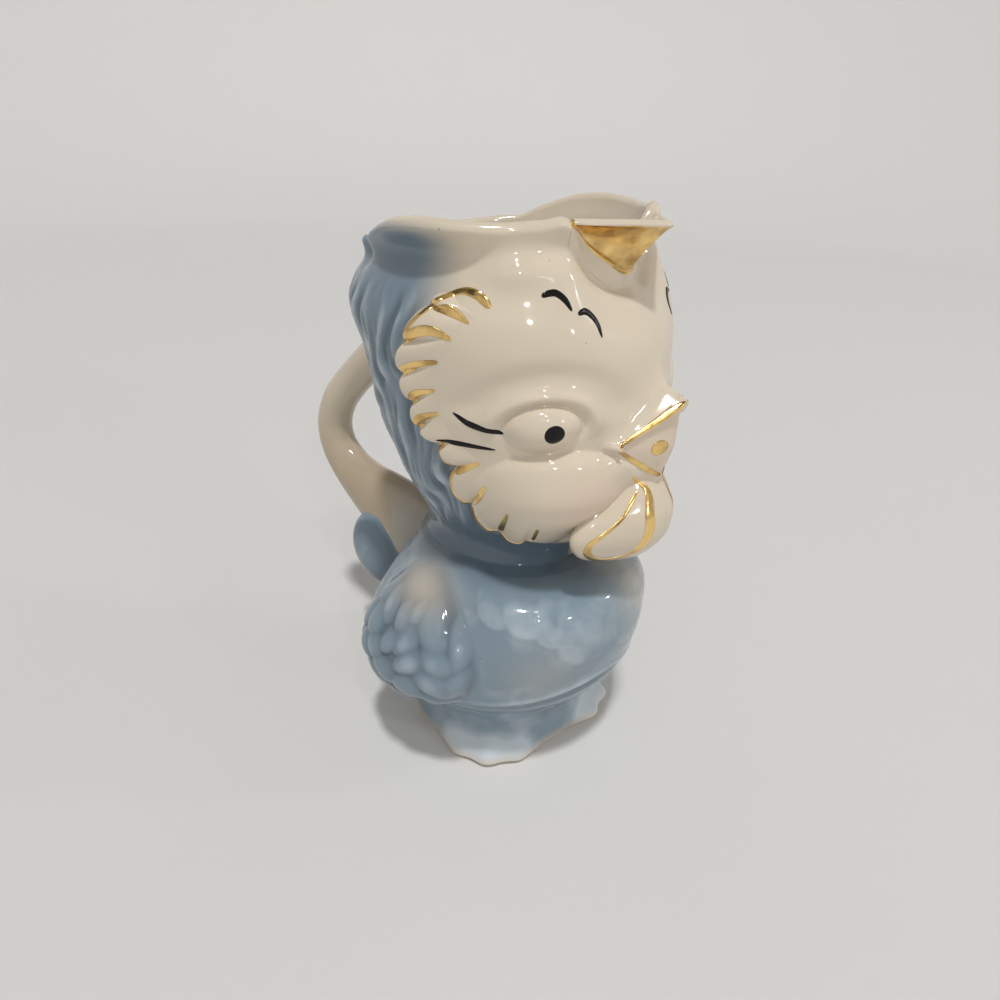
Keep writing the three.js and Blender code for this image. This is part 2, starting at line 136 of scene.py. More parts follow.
def arch(share):
    """0 at shares of 0 and 1, and 1 half way between them."""
    return 4 * share * (1 - share)


def around(azimuth, radius, height):
    turn = np.radians(azimuth)
    return np.stack(np.broadcast_arrays(-radius * np.sin(turn), -radius * np.cos(turn), height), -1)


def azimuth_of(places):
    return np.degrees(np.arctan2(-places[..., 0], -places[..., 1]))


print("straight ahead at 40 mm:", around(0, 40, 100))

# %% [markdown]
# From a grid to a piece
#
# bmesh makes a flat grid with clean quads, and each of its vertices is then moved to its place on the jug.
# Where the grid's edges meet, as round the neck, the doubled vertices are merged, so the piece is closed.
# A search tree of each finished skin is kept, because the painted lines are laid on it later.

# %% Helpers for pieces
MERGE_DISTANCE = 0.002
SIDES = {"right": 1, "left": -1}
skins = {}
pieces = {}


def grid_mesh(places):
    """A bmesh grid whose vertices lie at places, an array of columns by rows of points."""
    columns, rows = places.shape[:2]
    bm = bmesh.new()
    bmesh.ops.create_grid(bm, x_segments=columns - 1, y_segments=rows - 1, size=1)
    for vertex in bm.verts:
        column = round((vertex.co.x + 1) / 2 * (columns - 1))
        row = round((vertex.co.y + 1) / 2 * (rows - 1))
        vertex.co = places[column, row]
    return bm


def close_ends(bm):
    rims = [edge for edge in bm.edges if edge.is_boundary]
    if rims:
        bmesh.ops.holes_fill(bm, edges=rims, sides=0)


def make_piece(name, bm, node=None):
    """Closes a bmesh, makes it an object and hides the solid section that it stands for."""
    bmesh.ops.remove_doubles(bm, verts=bm.verts, dist=MERGE_DISTANCE)
    bmesh.ops.dissolve_degenerate(bm, edges=bm.edges, dist=MERGE_DISTANCE / 2)
    close_ends(bm)
    bmesh.ops.recalc_face_normals(bm, faces=bm.faces)
    if node:
        skins[node] = BVHTree.FromBMesh(bm)
    open_edges = sum(not edge.is_manifold for edge in bm.edges)
    bmesh.ops.scale(bm, vec=(MM, MM, MM), verts=bm.verts)
    mesh = bpy.data.meshes.new(name)
    bm.to_mesh(mesh)
    bm.free()
    mesh.polygons.foreach_set("use_smooth", [True] * len(mesh.polygons))
    piece = bpy.data.objects.new(name, mesh)
    bpy.context.scene.collection.objects.link(piece)
    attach(piece, "root")
    if node:
        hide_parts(node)
    print(piece.name, len(mesh.polygons), "faces,", open_edges, "open edges")
    return piece


def glaze_piece(node, bm):
    """A piece that stands for a solid section: glazed_ and the section's name."""
    pieces[node] = make_piece(f"glazed_{node}", bm, node)
    return pieces[node]


def on_both_sides(make):
    for name, side in SIDES.items():
        make(name, side)


def vertex_places(piece):
    flat = np.zeros(len(piece.data.vertices) * 3)
    piece.data.vertices.foreach_get("co", flat)
    return flat.reshape(-1, 3) / MM


def set_attribute(piece, name, values):
    layer = piece.data.attributes.new(name, "FLOAT", "POINT")
    layer.data.foreach_set("value", np.ascontiguousarray(values, dtype=np.float32))


print("sides:", list(SIDES))

# %% [markdown]
# The head's plain form
#
# The head is a thrown-looking ball with an open top, deeper at the face than at the sides.
# It could be turned on a lathe, but its outline differs in front, at the sides and behind.
# So three outlines are blended round the jug, and the rim rises and falls with the azimuth.

# %% Head outlines
WALL = 4.5
HEAD_BOTTOM = 64.3
HEAD_RISE = 81.5
HEAD_LEVELS = [0, 0.06, 0.17, 0.31, 0.48, 0.65, 0.79, 0.9, 0.955, 1]
face_outline = smooth_through(HEAD_LEVELS, [25, 26, 30.6, 35.8, 39, 39.8, 37.8, 33.2, 31, 32.4])
side_outline = smooth_through(HEAD_LEVELS, [24, 23.4, 27, 32.4, 36.6, 39.2, 40.2, 37.4, 36.3, 38.2])
nape_outline = smooth_through(HEAD_LEVELS, [23.5, 22.4, 25.6, 31, 35.8, 38.2, 40.8, 39.8, 38, 37.8])
ROUNDNESS = 4

RIM_AZIMUTHS = [0, 8, 16, 24, 30, 36, 48, 61, 75, 88, 102, 114, 124, 134, 150, 180]
RIM_CHANGES = [-9.2, -9.2, -8.4, -5.6, -1.8, 2.4, 2.7, 2.2, 2.4, 2.5, 1.5, -0.6, -2.6, -3.6, -4.6, -5.6]
RIM_POWER = 4
RIM_TILT = 1.5
RIM_LIFT = 0.7
FOREHEAD_ROUNDING = 3.6
FOREHEAD_START = 0.93
FOREHEAD_SIDES = (38, 26)
LEVEL_ROUNDS = 8
rim_by_side = smooth_through(RIM_AZIMUTHS, RIM_CHANGES)


def rim_change(azimuth):
    return rim_by_side(np.abs(azimuth)) + RIM_LIFT - RIM_TILT * np.sin(np.radians(azimuth))


def head_height(azimuth, level):
    return HEAD_BOTTOM + HEAD_RISE * level + rim_change(azimuth) * level**RIM_POWER


def head_level(azimuth, height):
    """The level that gives a height, found by trying again a few times."""
    level = (height - HEAD_BOTTOM) / HEAD_RISE
    for _ in range(LEVEL_ROUNDS):
        change = rim_change(azimuth) * level**RIM_POWER
        level = np.clip((height - HEAD_BOTTOM - change) / HEAD_RISE, 0, 1)
    return level


def head_base(azimuth, level):
    turn = np.radians(azimuth)
    end = np.where(np.cos(turn) > 0, face_outline(level), nape_outline(level))
    side = side_outline(level)
    forehead = FOREHEAD_ROUNDING * ease(FOREHEAD_START, 1, level) * ease(*FOREHEAD_SIDES, np.abs(azimuth))
    return side + (end - side) * (1 - np.sin(turn) ** ROUNDNESS) - forehead


print("rim height beside the lip and behind:", head_height(36.0, 1.0), head_height(180.0, 1.0))

# %% [markdown]
# Cheeks, eyes and hood on the head
#
# The face is a raised mask with puffed cheeks under bulging eyes. Behind it lies a hood of combed feathers.
# Each of these is a swelling or a groove, added to the plain radius, in the order a modeller adds clay.
# The mask's edge is stepped here only softly, because the petals of the fringe cover it.

# %% Head features
SKIN_MM_PER_DEGREE = 0.68
FACE_LIFT = 0.6
MASK_HEIGHTS = [70, 74, 78, 86.6, 97.1, 101.2, 105.6, 111.4, 117.4, 125.4, 133.5, 137, 148]
MASK_AZIMUTHS = [10, 38, 57.5, 70.7, 73.3, 79.7, 87.6, 89.4, 92.9, 89.6, 80.5, 74, 60]
mask_edge = smooth_through(MASK_HEIGHTS, MASK_AZIMUTHS)
MASK_STEP = (0.5, 6)
CHEEK_PLACE = (37, 90)
CHEEK_HALF = (32, 13.4, 17.5)
CHEEK_LIFT = 6.8
CHEEK_SOFTNESS = 1.25
CHEEK_CRISPNESS = 0.5
EYE_AZIMUTH = 44.6
EYE_HEIGHT = 108.4
EYE_HALF = (12.4, 5.6, 5.2)
EYE_SLANT = 0.05
EYE_LIFT = 2.9
EYE_SOFTNESS = 1.3
EYE_CRISPNESS = 0.6
EYE_GROOVE = (-0.8, 1.1, 0.12)
EYE_LID = (0.9, 1.42, 0.2)
EYE_SOCKET = (-1.1, 2.1, 0.55)


def inside_mask(azimuth, height):
    return (mask_edge(height) - np.abs(azimuth)) * SKIN_MM_PER_DEGREE


def mask_share(azimuth, height):
    return ease(*MASK_STEP, inside_mask(azimuth, height))


def cheek(azimuth, height):
    """A full cheek with a crisp upper edge under the eye and a soft lower one."""
    up = height - CHEEK_PLACE[1]
    out = oval(np.abs(azimuth) - CHEEK_PLACE[0], up, *CHEEK_HALF)
    return CHEEK_LIFT * dome(out, CHEEK_SOFTNESS - CHEEK_CRISPNESS * ease(2, 12, up))


def eye_out(azimuth, height):
    across = np.abs(azimuth) - EYE_AZIMUTH
    return oval(across, height - EYE_HEIGHT + EYE_SLANT * across, *EYE_HALF)


def eye_form(azimuth, height):
    """A bulging eye under a lid, with a groove between them and a shallow socket above."""
    out = eye_out(azimuth, height)
    above = ease(-3, 2.5, height - EYE_HEIGHT)
    groove = band(EYE_GROOVE, out) * above
    lid = band(EYE_LID, out) * above
    socket = band(EYE_SOCKET, out) * ease(0, 6, height - EYE_HEIGHT)
    return EYE_LIFT * dome(out, EYE_SOFTNESS - EYE_CRISPNESS * above) + groove + lid + socket


print("mask edge beside the eye:", round(float(mask_edge(EYE_HEIGHT)), 1), "degrees")

# %% Hood and rim features
BROAD_SPACING = 11
FINE_SPACING = 4.6
FINE_SHARE = 0.4
HOOD_BOTTOM = (70, 82)
HOOD_TOP = (128, 138)
RIM_CREASE = (-1.4, 126, 4)
RIM_FLARE = (1.4, 92, 24)
RIM_SWELLINGS = {
    "scoop below the flare": (-2.2, (92, 141.5), (27, 4.2)),
    "bulge of the nape": (1.5, (134, 130.5), (22, 5.5)),
    "fill beside the lip": (2.6, (56, 141.5), (14, 4)),
}


def hood_relief(azimuth, height):
    """Combed feathers: short wavy ridges of two sizes, strongest in the middle of the hood."""
    side = np.abs(azimuth)
    sway = 0.34 * np.sin(height / 5.3 + side / 15) + 0.2 * np.sin(height / 2.7 + side / 6)
    broad = np.sin(2 * np.pi * (side / BROAD_SPACING + sway))
    broad = broad * (0.55 + 0.45 * np.sin(height / 3.7 + side / 4.1))
    fine = np.sin(2 * np.pi * (side / FINE_SPACING + 1.6 * sway))
    fine = fine * (0.5 + 0.5 * np.sin(height / 2.3 - side / 5.3))
    outside = 1 - ease(-2, 1, inside_mask(azimuth, height))
    middle = ease(*HOOD_BOTTOM, height) * (1 - ease(*HOOD_TOP, height))
    return middle * outside * (broad + FINE_SHARE * fine)


def rim_form(azimuth, height):
    """Flared lobes at the sides with a scoop below them, and a creased corner behind each lobe."""
    side = np.abs(azimuth)
    crease = band(RIM_CREASE, side) * ease(134, 141, height)
    flare = band(RIM_FLARE, side) * ease(142, 149, height)
    form = crease + flare
    for lift, place, half in RIM_SWELLINGS.values():
        form = form + lift * mound(side, height, place, half)
    return form


print("swellings below the rim:", list(RIM_SWELLINGS))

# %% [markdown]
# The face drawn out to the beak
#
# The beak grows out of the face in one smooth curve, so it is part of the head's own formula.
# Seen from above, each edge of the beak runs straight from its blunt tip to the corner of the mouth.
# The face is pulled out to these two edges. The beak's own pieces then follow the same formula.

# %% Face and skin
MOUTH_AZIMUTH = 19.5
MOUTH_RADIUS = 42.0
MOUTH_HEIGHT = 103.5
UPPER_TIP = (48.3, 113.0)
LOWER_TIP = (44.9, 94.4)
UPPER_BEND = 0.75
LOWER_BEND = 0.95
TIP_ROUNDING = 2.6
BEAK_OVERLAP = 1.5
UPPER_EXTENT = 8.5
LOWER_EXTENT = 7.0
UPPER_CURVES = [(0.66, 2.0), (0.34, 5.6)]
LOWER_CURVE = 6.5
EDGE_FALL = 0.8
CHIN_LIFT = 3.0
CHIN_PLACE = (0, 88)
CHIN_HALF = (17, 8)
HOOD_DROP = 0.7
HOOD_DEPTH = 0.6
STEP_BOTTOM = (HEAD_BOTTOM, 72)
STEP_TOP = (135, 145)


def from_tip(azimuth):
    """Degrees from the beak's tip, eased at the tip so that it is blunt."""
    corner = np.hypot(MOUTH_AZIMUTH, TIP_ROUNDING) - TIP_ROUNDING
    return (np.hypot(azimuth, TIP_ROUNDING) - TIP_ROUNDING) * MOUTH_AZIMUTH / corner


def beak_edge(azimuth, tip, bend):
    """Radius and height of an edge that runs straight from the tip to the corner, seen from above."""
    reach, height = tip
    turn = np.radians(np.clip(from_tip(azimuth), 0, MOUTH_AZIMUTH))
    corner = np.radians(MOUTH_AZIMUTH)
    radius = reach * MOUTH_RADIUS * np.sin(corner)
    radius = radius / (reach * np.sin(turn) + MOUTH_RADIUS * np.sin(corner - turn))
    return radius, height + (MOUTH_HEIGHT - height) * (turn / corner) ** bend


def upper_edge(azimuth):
    return beak_edge(azimuth, UPPER_TIP, UPPER_BEND)


def lower_edge(azimuth):
    return beak_edge(azimuth, LOWER_TIP, LOWER_BEND)


def plain_face(azimuth, height):
    chin = CHIN_LIFT * mound(azimuth, height, CHIN_PLACE, CHIN_HALF)
    features = cheek(azimuth, height) + eye_form(azimuth, height)
    return head_base(azimuth, head_level(azimuth, height)) + FACE_LIFT + features + chin


def beak_form(azimuth, height):
    """The face drawn out to the two edges of the beak, in a hollow curve above and a full one below."""
    beside = ease(MOUTH_AZIMUTH + 5, MOUTH_AZIMUTH - 2, np.abs(azimuth))
    radius, edge = upper_edge(azimuth)
    above = height - edge
    hollow = sum(share * hump(above, width) for share, width in UPPER_CURVES)
    hollow = np.where(above > 0, hollow, hump(above, EDGE_FALL))
    upper = np.clip(radius - plain_face(azimuth, edge), 0, None) * hollow
    radius, edge = lower_edge(azimuth)
    below = edge - height
    full = hump(below, np.where(below > 0, LOWER_CURVE, EDGE_FALL))
    lower = np.clip(radius - plain_face(azimuth, edge), 0, None) * full
    return (upper + lower) * beside


def beak_reach(azimuth, extent):
    """How far a half of the beak reaches over the face from its edge."""
    middle = np.clip(1 - np.abs(azimuth) / (MOUTH_AZIMUTH + BEAK_OVERLAP), 0, 1)
    return 0.4 + extent * middle**0.6


def face_skin(azimuth, height):
    """The surface of the face, carried on over the whole head."""
    return plain_face(azimuth, height) + beak_form(azimuth, height)


def head_skin(azimuth, height):
    """The face, with the hood set back behind the mask, its feathers and the forms of the rim."""
    mask = mask_share(azimuth, height)
    ends = ease(*STEP_BOTTOM, height) * (1 - ease(*STEP_TOP, height))
    step = (FACE_LIFT + HOOD_DROP) * (1 - mask) * ends + FACE_LIFT * (1 - ends)
    detail = HOOD_DEPTH * hood_relief(azimuth, height) + rim_form(azimuth, height)
    return face_skin(azimuth, height) - step + detail


print("radius at the cheek:", round(float(head_skin(40.0, 91.0)), 1))

# %% [markdown]
# The head's wall
#
# The head is cast hollow: it has an outer skin, a rounded rim and a plain inner face.
# A Solidify modifier could give it a wall, but it would repeat every feather on the inside.
# So each section goes up outside, over the rim and down inside, and one is made for every azimuth.

# %% Head shell
HEAD_COLUMNS = 400
HEAD_ROWS = 150
RIM_ROWS = 12
INNER_ROWS = 40
RIM_THINNING = 1.0
THINNING_START = 0.85
COVERED_DEPTH = 0.8
COVERED_SHARE = 0.6
COVERED_FADE = 1.5


def ring_of_sections(azimuths, sections):
    """Columns of points from each section's radii and heights. The last column is the first one again."""
    radius, height = sections
    places = around(azimuths[:, None], radius, height)
    places[-1] = places[0]
    return places


def wall_sections(outer_radius, outer_height, inner_radius, rim_rows):
    """A closed wall: up outside, over the rounded top, down inside and back to the start."""
    top_radius = (outer_radius[:, -1:] + inner_radius[:, -1:]) / 2
    half = (outer_radius[:, -1:] - inner_radius[:, -1:]) / 2
    angles = np.linspace(0, np.pi, rim_rows + 2)[None, 1:-1]
    rim_radius = top_radius + half * np.cos(angles)
    rim_height = outer_height[:, -1:] + half * np.sin(angles)
    down = slice(None, None, -1)
    inner_rows = np.linspace(0, outer_height.shape[1] - 1, inner_radius.shape[1]).astype(int)
    inner_height = outer_height[:, inner_rows]
    radius = [outer_radius, rim_radius, inner_radius[:, down], outer_radius[:, :1]]
    height = [outer_height, rim_height, inner_height[:, down], outer_height[:, :1]]
    return np.hstack(radius), np.hstack(height)


def covered(azimuth, height):
    """1 where an eye or the beak lies on the head, and 0 elsewhere."""
    eye = ease(1.0, 0.7, eye_out(azimuth, height))
    top = upper_edge(azimuth)[1] + COVERED_SHARE * beak_reach(azimuth, UPPER_EXTENT)
    bottom = lower_edge(azimuth)[1] - COVERED_SHARE * beak_reach(azimuth, LOWER_EXTENT)
    mouth = ease(top, top - COVERED_FADE, height) * ease(bottom, bottom + COVERED_FADE, height)
    return np.maximum(eye, mouth * ease(MOUTH_AZIMUTH, MOUTH_AZIMUTH - 3, np.abs(azimuth)))


head_azimuths = np.linspace(-180, 180, HEAD_COLUMNS + 1)
levels = np.linspace(0, 1, HEAD_ROWS + 1)
outer_height = head_height(head_azimuths[:, None], levels[None, :])
outer_radius = head_skin(head_azimuths[:, None], outer_height)
outer_radius -= COVERED_DEPTH * covered(head_azimuths[:, None], outer_height)
inner_levels = levels[np.linspace(0, HEAD_ROWS, INNER_ROWS + 1).astype(int)]
inner_radius = head_base(head_azimuths[:, None], inner_levels[None, :]) - WALL
inner_radius += RIM_THINNING * ease(THINNING_START, 1, inner_levels[None, :])
head_sections = wall_sections(outer_radius, outer_height, inner_radius, RIM_ROWS)
glaze_piece("head_shell", grid_mesh(ring_of_sections(head_azimuths, head_sections)))

# %% [markdown]
# The eyes
#
# On the jug the eyes are pads of clay smoothed on to the face, each under a creased lid.
# A disc of clay is made from a square grid whose corners are drawn in to a circle, so it has no pole.
# Its outer face follows the head's own formula. Its edge dips under the skin, so the join looks smoothed.

# %% Eyes
EYE_STEPS = 48
EYE_PATCH = (14.5, 6.9)
EYE_DEPTH = 2.5
SKIN_LIFT = 0.03
EDGE_DIP = 0.08
EDGE_START = 0.93


def disc_grid(steps):
    """A square grid drawn in to a disc of radius 1: two arrays, across and up."""
    line = np.linspace(-1, 1, steps + 1)
    across, up = np.meshgrid(line, line, indexing="ij")
    return across * np.sqrt(1 - up**2 / 2), up * np.sqrt(1 - across**2 / 2)


def join_into(whole, part):
    """Adds a bmesh to another one and frees it."""
    mesh = bpy.data.meshes.new("part")
    part.to_mesh(mesh)
    part.free()
    whole.from_mesh(mesh)
    bpy.data.meshes.remove(mesh)
    return whole


def sheet_with_back(places, backs):
    """A closed patch: a grid of outer points, joined at its edge to a grid of inner points."""
    front = join_into(grid_mesh(places), grid_mesh(backs))
    bmesh.ops.remove_doubles(front, verts=front.verts, dist=MERGE_DISTANCE)
    return front


def depth_inside(depth, out):
    """How far a patch's back lies below its front: the whole depth in the middle and nothing at the edge."""
    return depth * (1 - out**4)


def patch_on(skin, azimuth, height, out, depth, sink):
    """Outer and inner points of a patch: out is 0 in its middle and 1 at its edge, where they meet."""
    radius = skin(azimuth, height) + SKIN_LIFT - sink * ease(EDGE_START, 1, out)
    inner = radius - depth_inside(depth, out)
    return around(azimuth, radius, height), around(azimuth, inner, height)


def make_eye(name, side):
    across, up = disc_grid(EYE_STEPS)
    azimuth = side * (EYE_AZIMUTH + EYE_PATCH[0] * across)
    height = EYE_HEIGHT + EYE_PATCH[1] * up - EYE_SLANT * EYE_PATCH[0] * across
    front, back = patch_on(head_skin, azimuth, height, np.hypot(across, up), EYE_DEPTH, EDGE_DIP)
    glaze_piece(f"{name}_eye", sheet_with_back(front, back))


on_both_sides(make_eye)

# %% [markdown]
# The fringe
#
# A fringe of rounded petals ends the face on each side, with a groove between each petal and the next.
# It could be cut out of the head's skin, but a band of its own follows the scallops cleanly.
# Each groove has an outer and an inner end. A petal is the patch between two grooves, bowed at its edge.

# %% Fringe
GROOVE_OUTER = [
    (74.9, 136), (80.5, 133.5), (89.8, 125.2), (92.7, 117.7), (89.5, 111.3), (88.3, 105.2),
    (79.4, 102.4), (74.7, 96.9), (70.4, 86.2), (57.4, 78.5), (42.6, 77.4),
]
GROOVE_INNER = [
    (62.8, 133.6), (68.1, 130.5), (73.3, 127.5), (77.4, 122.1), (78.8, 115.9), (78.3, 110.7),
    (73.1, 104.4), (63.4, 99.6), (61.3, 93.8), (53.1, 88.1), (43.5, 86.0),
]
PETAL_BOWS = [2.0, 2.4, 2.4, 2.2, 2.1, 2.4, 3.0, 5.0, 4.6, 4.4]
PETAL_COLUMNS = 20
PETAL_ROWS = 36
PETAL_CROWN = 1.1
PETAL_GROOVE = (-0.5, 0, 0.14)
EDGE_ROLL = 2.2
EDGE_WIDTH = 1.4
FRINGE_DEPTH = 2.5
FRINGE_END_SINK = 2.2


def petal_places(along, inward):
    """Azimuth, height, share across the petal and length, for places along the band and inwards."""
    petal = np.clip(along.astype(int), 0, len(GROOVE_OUTER) - 2)
    share = along - petal
    outer = np.array(GROOVE_OUTER) * (SKIN_MM_PER_DEGREE, 1)
    inner = np.array(GROOVE_INNER) * (SKIN_MM_PER_DEGREE, 1)
    part = share[..., None]
    edge = outer[petal] * (1 - part) + outer[petal + 1] * part
    root = inner[petal] * (1 - part) + inner[petal + 1] * part
    outward = (edge - root) / np.linalg.norm(edge - root, axis=-1, keepdims=True)
    bow = np.array(PETAL_BOWS)[petal] * arch(share) ** 0.6 * (1 - inward) ** 1.5
    place = edge + (root - edge) * inward[..., None] + outward * bow[..., None]
    length = np.linalg.norm(edge - root, axis=-1) + bow
    return place[..., 0] / SKIN_MM_PER_DEGREE, place[..., 1], share, length


def petal_relief(share, inward, length):
    """A petal's crown between its grooves, and its edge rolled down to the hood."""
    depth = np.clip(inward * length / EDGE_WIDTH, 0, 1)
    roll = -EDGE_ROLL * (1 - np.sqrt(1 - (1 - depth) ** 2))
    fading = ease(1, 0.15, inward)
    crown = PETAL_CROWN * arch(share) ** 0.7 * fading * depth
    groove = band(PETAL_GROOVE, np.minimum(share, 1 - share)) * fading
    return roll + crown + groove - EDGE_DIP * ease(0.85, 1, inward)


def make_fringe(name, side):
    petals = len(PETAL_BOWS)
    along, inward = np.meshgrid(
        np.linspace(0, petals, petals * PETAL_COLUMNS + 1),
        np.linspace(0, 1, PETAL_ROWS + 1) ** 1.5,
        indexing="ij",
    )
    azimuth, height, share, length = petal_places(along, inward)
    ends = 1 - ease(0, 0.5, along) * ease(petals, petals - 0.4, along)
    radius = face_skin(azimuth, height) + SKIN_LIFT + petal_relief(share, inward, length)
    radius = radius - FRINGE_END_SINK * ends
    front = around(side * azimuth, radius, height)
    away = np.minimum(np.minimum(inward, 1 - inward) * 6, np.minimum(along, petals - along) * 3)
    back = around(side * azimuth, radius - FRINGE_DEPTH * np.clip(away, 0, 1), height)
    glaze_piece(f"{name}_fringe", sheet_with_back(front, back))


on_both_sides(make_fringe)

# %% [markdown]
# The beak
#
# The beak is two hollow wedges that open forward, with smooth roots that run up between the eyes.
# It could be a cone cut open, but then its root would meet the face at a hard corner.
# So each half follows the drawn-out face down to its edge, goes over the blunt edge and back inside.

# %% Beak
BEAK_COLUMNS = 96
BEAK_ROWS = 40
BEAK_DEPTH = 4.0
BEAK_LEAST_EDGE = 0.3
UPPER_BLUNTNESS = 1.3
LOWER_BLUNTNESS = 0.5
EDGE_SECTION = np.array([(0.02, 0.35), (0.12, 0.7), (0.4, 0.95), (0.9, 1.05), (1.6, 0.8)])
INSIDE_ROWS = np.array([0.15, 0.5, 0.85])


def make_beak(name, edge_at, extent, facing, bluntness):
    """Sweeps a section along the edge. Facing is 1 for the upper half and -1 for the lower one."""
    across = np.linspace(-1, 1, BEAK_COLUMNS + 1)[:, None]
    azimuth = (MOUTH_AZIMUTH + BEAK_OVERLAP) * across
    height = edge_at(azimuth)[1]
    middle = 1 - np.abs(across)
    rows = np.linspace(1, 0, BEAK_ROWS + 1)[None, :] ** 1.3
    reach = beak_reach(azimuth, extent)
    outer_height = height + facing * reach * rows
    edges = np.maximum(ease(0.85, 1, rows), ease(0.94, 1, np.abs(across)))
    outer_radius = head_skin(azimuth, outer_height) + SKIN_LIFT - EDGE_DIP * edges
    depth = BEAK_LEAST_EDGE + bluntness * middle**0.8
    under_radius = outer_radius[:, -1:] - depth * EDGE_SECTION[:, 0]
    under_height = height - facing * depth * EDGE_SECTION[:, 1]
    inside_height = height + facing * reach * INSIDE_ROWS
    inside_radius = head_skin(azimuth, inside_height) - COVERED_DEPTH
    inside_radius = inside_radius - BEAK_DEPTH * middle * (1 - INSIDE_ROWS)
    radius = np.hstack([outer_radius, under_radius, inside_radius, outer_radius[:, :1]])
    heights = np.hstack([outer_height, under_height, inside_height, outer_height[:, :1]])
    glaze_piece(name, grid_mesh(around(azimuth, radius, heights)))


make_beak("upper_beak", upper_edge, UPPER_EXTENT, 1, UPPER_BLUNTNESS)
make_beak("lower_beak", lower_edge, LOWER_EXTENT, -1, LOWER_BLUNTNESS)

# %% [markdown]
# The mouth and tongue
#
# Between the halves of the beak lies a low tongue that fills the mouth from corner to corner.
# It is a patch like the eye, but its radius comes from the beak's upper edge and not from the face.

# %% Tongue
TONGUE_HALF_ANGLE = MOUTH_AZIMUTH - 0.5
TONGUE_SET_BACK = 0.7
TONGUE_TUCK = 1.6
TONGUE_GROOVE = (0.8, 0, 6)
TONGUE_FALL = 2.4
TONGUE_FALL_TOP = MOUTH_HEIGHT - 0.5
TONGUE_FALL_LENGTH = 9
TONGUE_DEPTH = 4


def make_tongue():
    across, up = disc_grid(EYE_STEPS)
    azimuth = TONGUE_HALF_ANGLE * across
    reach, top = upper_edge(azimuth)
    bottom = lower_edge(azimuth)[1]
    height = (top + bottom) / 2 + ((top - bottom) / 2 + TONGUE_TUCK) * up
    fall = TONGUE_FALL * np.clip((TONGUE_FALL_TOP - height) / TONGUE_FALL_LENGTH, 0, 1) ** 1.6
    radius = reach - TONGUE_SET_BACK - band(TONGUE_GROOVE, azimuth) - fall
    inner = radius - depth_inside(TONGUE_DEPTH, np.hypot(across, up))
    front = around(azimuth, radius, height)
    back = around(azimuth, inner, height)
    glaze_piece("tongue", sheet_with_back(front, back))


make_tongue()

# %% [markdown]
# The wattles
#
# Two soft flaps of clay hang under the beak, bent round the chin and joined in the middle.
# A squashed ball would be stiff, so each one is a disc whose middle and width change with the height.
# Its front and back swell apart and meet at a rounded edge, and its top sinks into the chin.

# %% Wattles
WATTLE_HEIGHTS = [69, 71, 74.2, 78, 82.4, 85.1, 88.7, 91.5, 94.4, 98]
wattle_front = smooth_through(WATTLE_HEIGHTS, [42.8, 44.8, 47, 48.5, 48.8, 48.4, 46.8, 45.4, 44.6, 43.6])
wattle_middle = smooth_through([70.5, 73, 77, 82, 86, 90, 97], [5.5, 9, 11.3, 12, 10, 7.7, 6])
wattle_half = smooth_through([70.5, 77, 80, 86, 90, 97], [23.5, 21.8, 21.2, 18.5, 16.9, 16.9])
WATTLE_CENTRE = 83.5
WATTLE_HALF_HEIGHT = 13.2
WATTLE_HALF_DEPTH = 3.6
WATTLE_FALL = 5.0
WATTLE_BEND = 13
WATTLE_FULLNESS = 2.4
WATTLE_STEPS = 64


def make_wattle(name, side):
    across, up = disc_grid(WATTLE_STEPS)
    height = WATTLE_CENTRE + WATTLE_HALF_HEIGHT * up
    azimuth = wattle_middle(height) + wattle_half(height) * across
    front = wattle_front(height) - WATTLE_FALL * (1 - hump(azimuth, WATTLE_BEND))
    out = np.hypot(across, up)
    swell = WATTLE_HALF_DEPTH * np.sqrt(np.clip(1 - out**WATTLE_FULLNESS, 0, 1))
    outer = around(side * azimuth, front - WATTLE_HALF_DEPTH + swell, height)
    inner = around(side * azimuth, front - WATTLE_HALF_DEPTH - swell, height)
    glaze_piece(f"{name}_wattle", sheet_with_back(outer, inner))


on_both_sides(make_wattle)

# %% [markdown]
# The pouring lip
#
# The lip is the gilded bow of a small boat, set into the front of the rim, and its inside is plain cream.
# Its edge runs straight from corner to tip. Its foot is a curve on the forehead, and its side is hollow.
# A cream apron below the foot carries the lip on over the forehead, so the join with the head is smooth.

# %% Pouring lip
LIP_CORNER = np.array((19.8, -26.4, 149.3))
LIP_TIP = np.array((0, -38.6, 149.2))
LIP_TIP_ROUNDING = 0.06
LIP_FOOT_AZIMUTHS = [0, 3, 7, 13, 24, 31.4, 37]
lip_foot = smooth_through(LIP_FOOT_AZIMUTHS, [138.1, 138.3, 139, 140.6, 144, 147.1, 149])
LIP_EDGE_WALL = 2.2
LIP_EDGE_STEPS = 8
LIP_FOOT_SHARE = 0.9
LIP_APRON = 4.5
LIP_LEAST_HOLLOW = 0.9
LIP_HOLLOW = 4.0
LIP_HOLLOW_SPREAD = 1.05
LIP_BEADS = [(0.5, 0.08, 0.06), (0.5, 0.97, 0.05)]
LIP_COLUMNS = 96
LIP_ROWS = 40
APRON_ROWS = 8


def bent(start, middle, end, share):
    """Points of a curve that leaves the start and reaches the end as if drawn to the middle."""
    share = share[:, None]
    return start * (1 - share) ** 2 + 2 * middle * share * (1 - share) + end * share**2


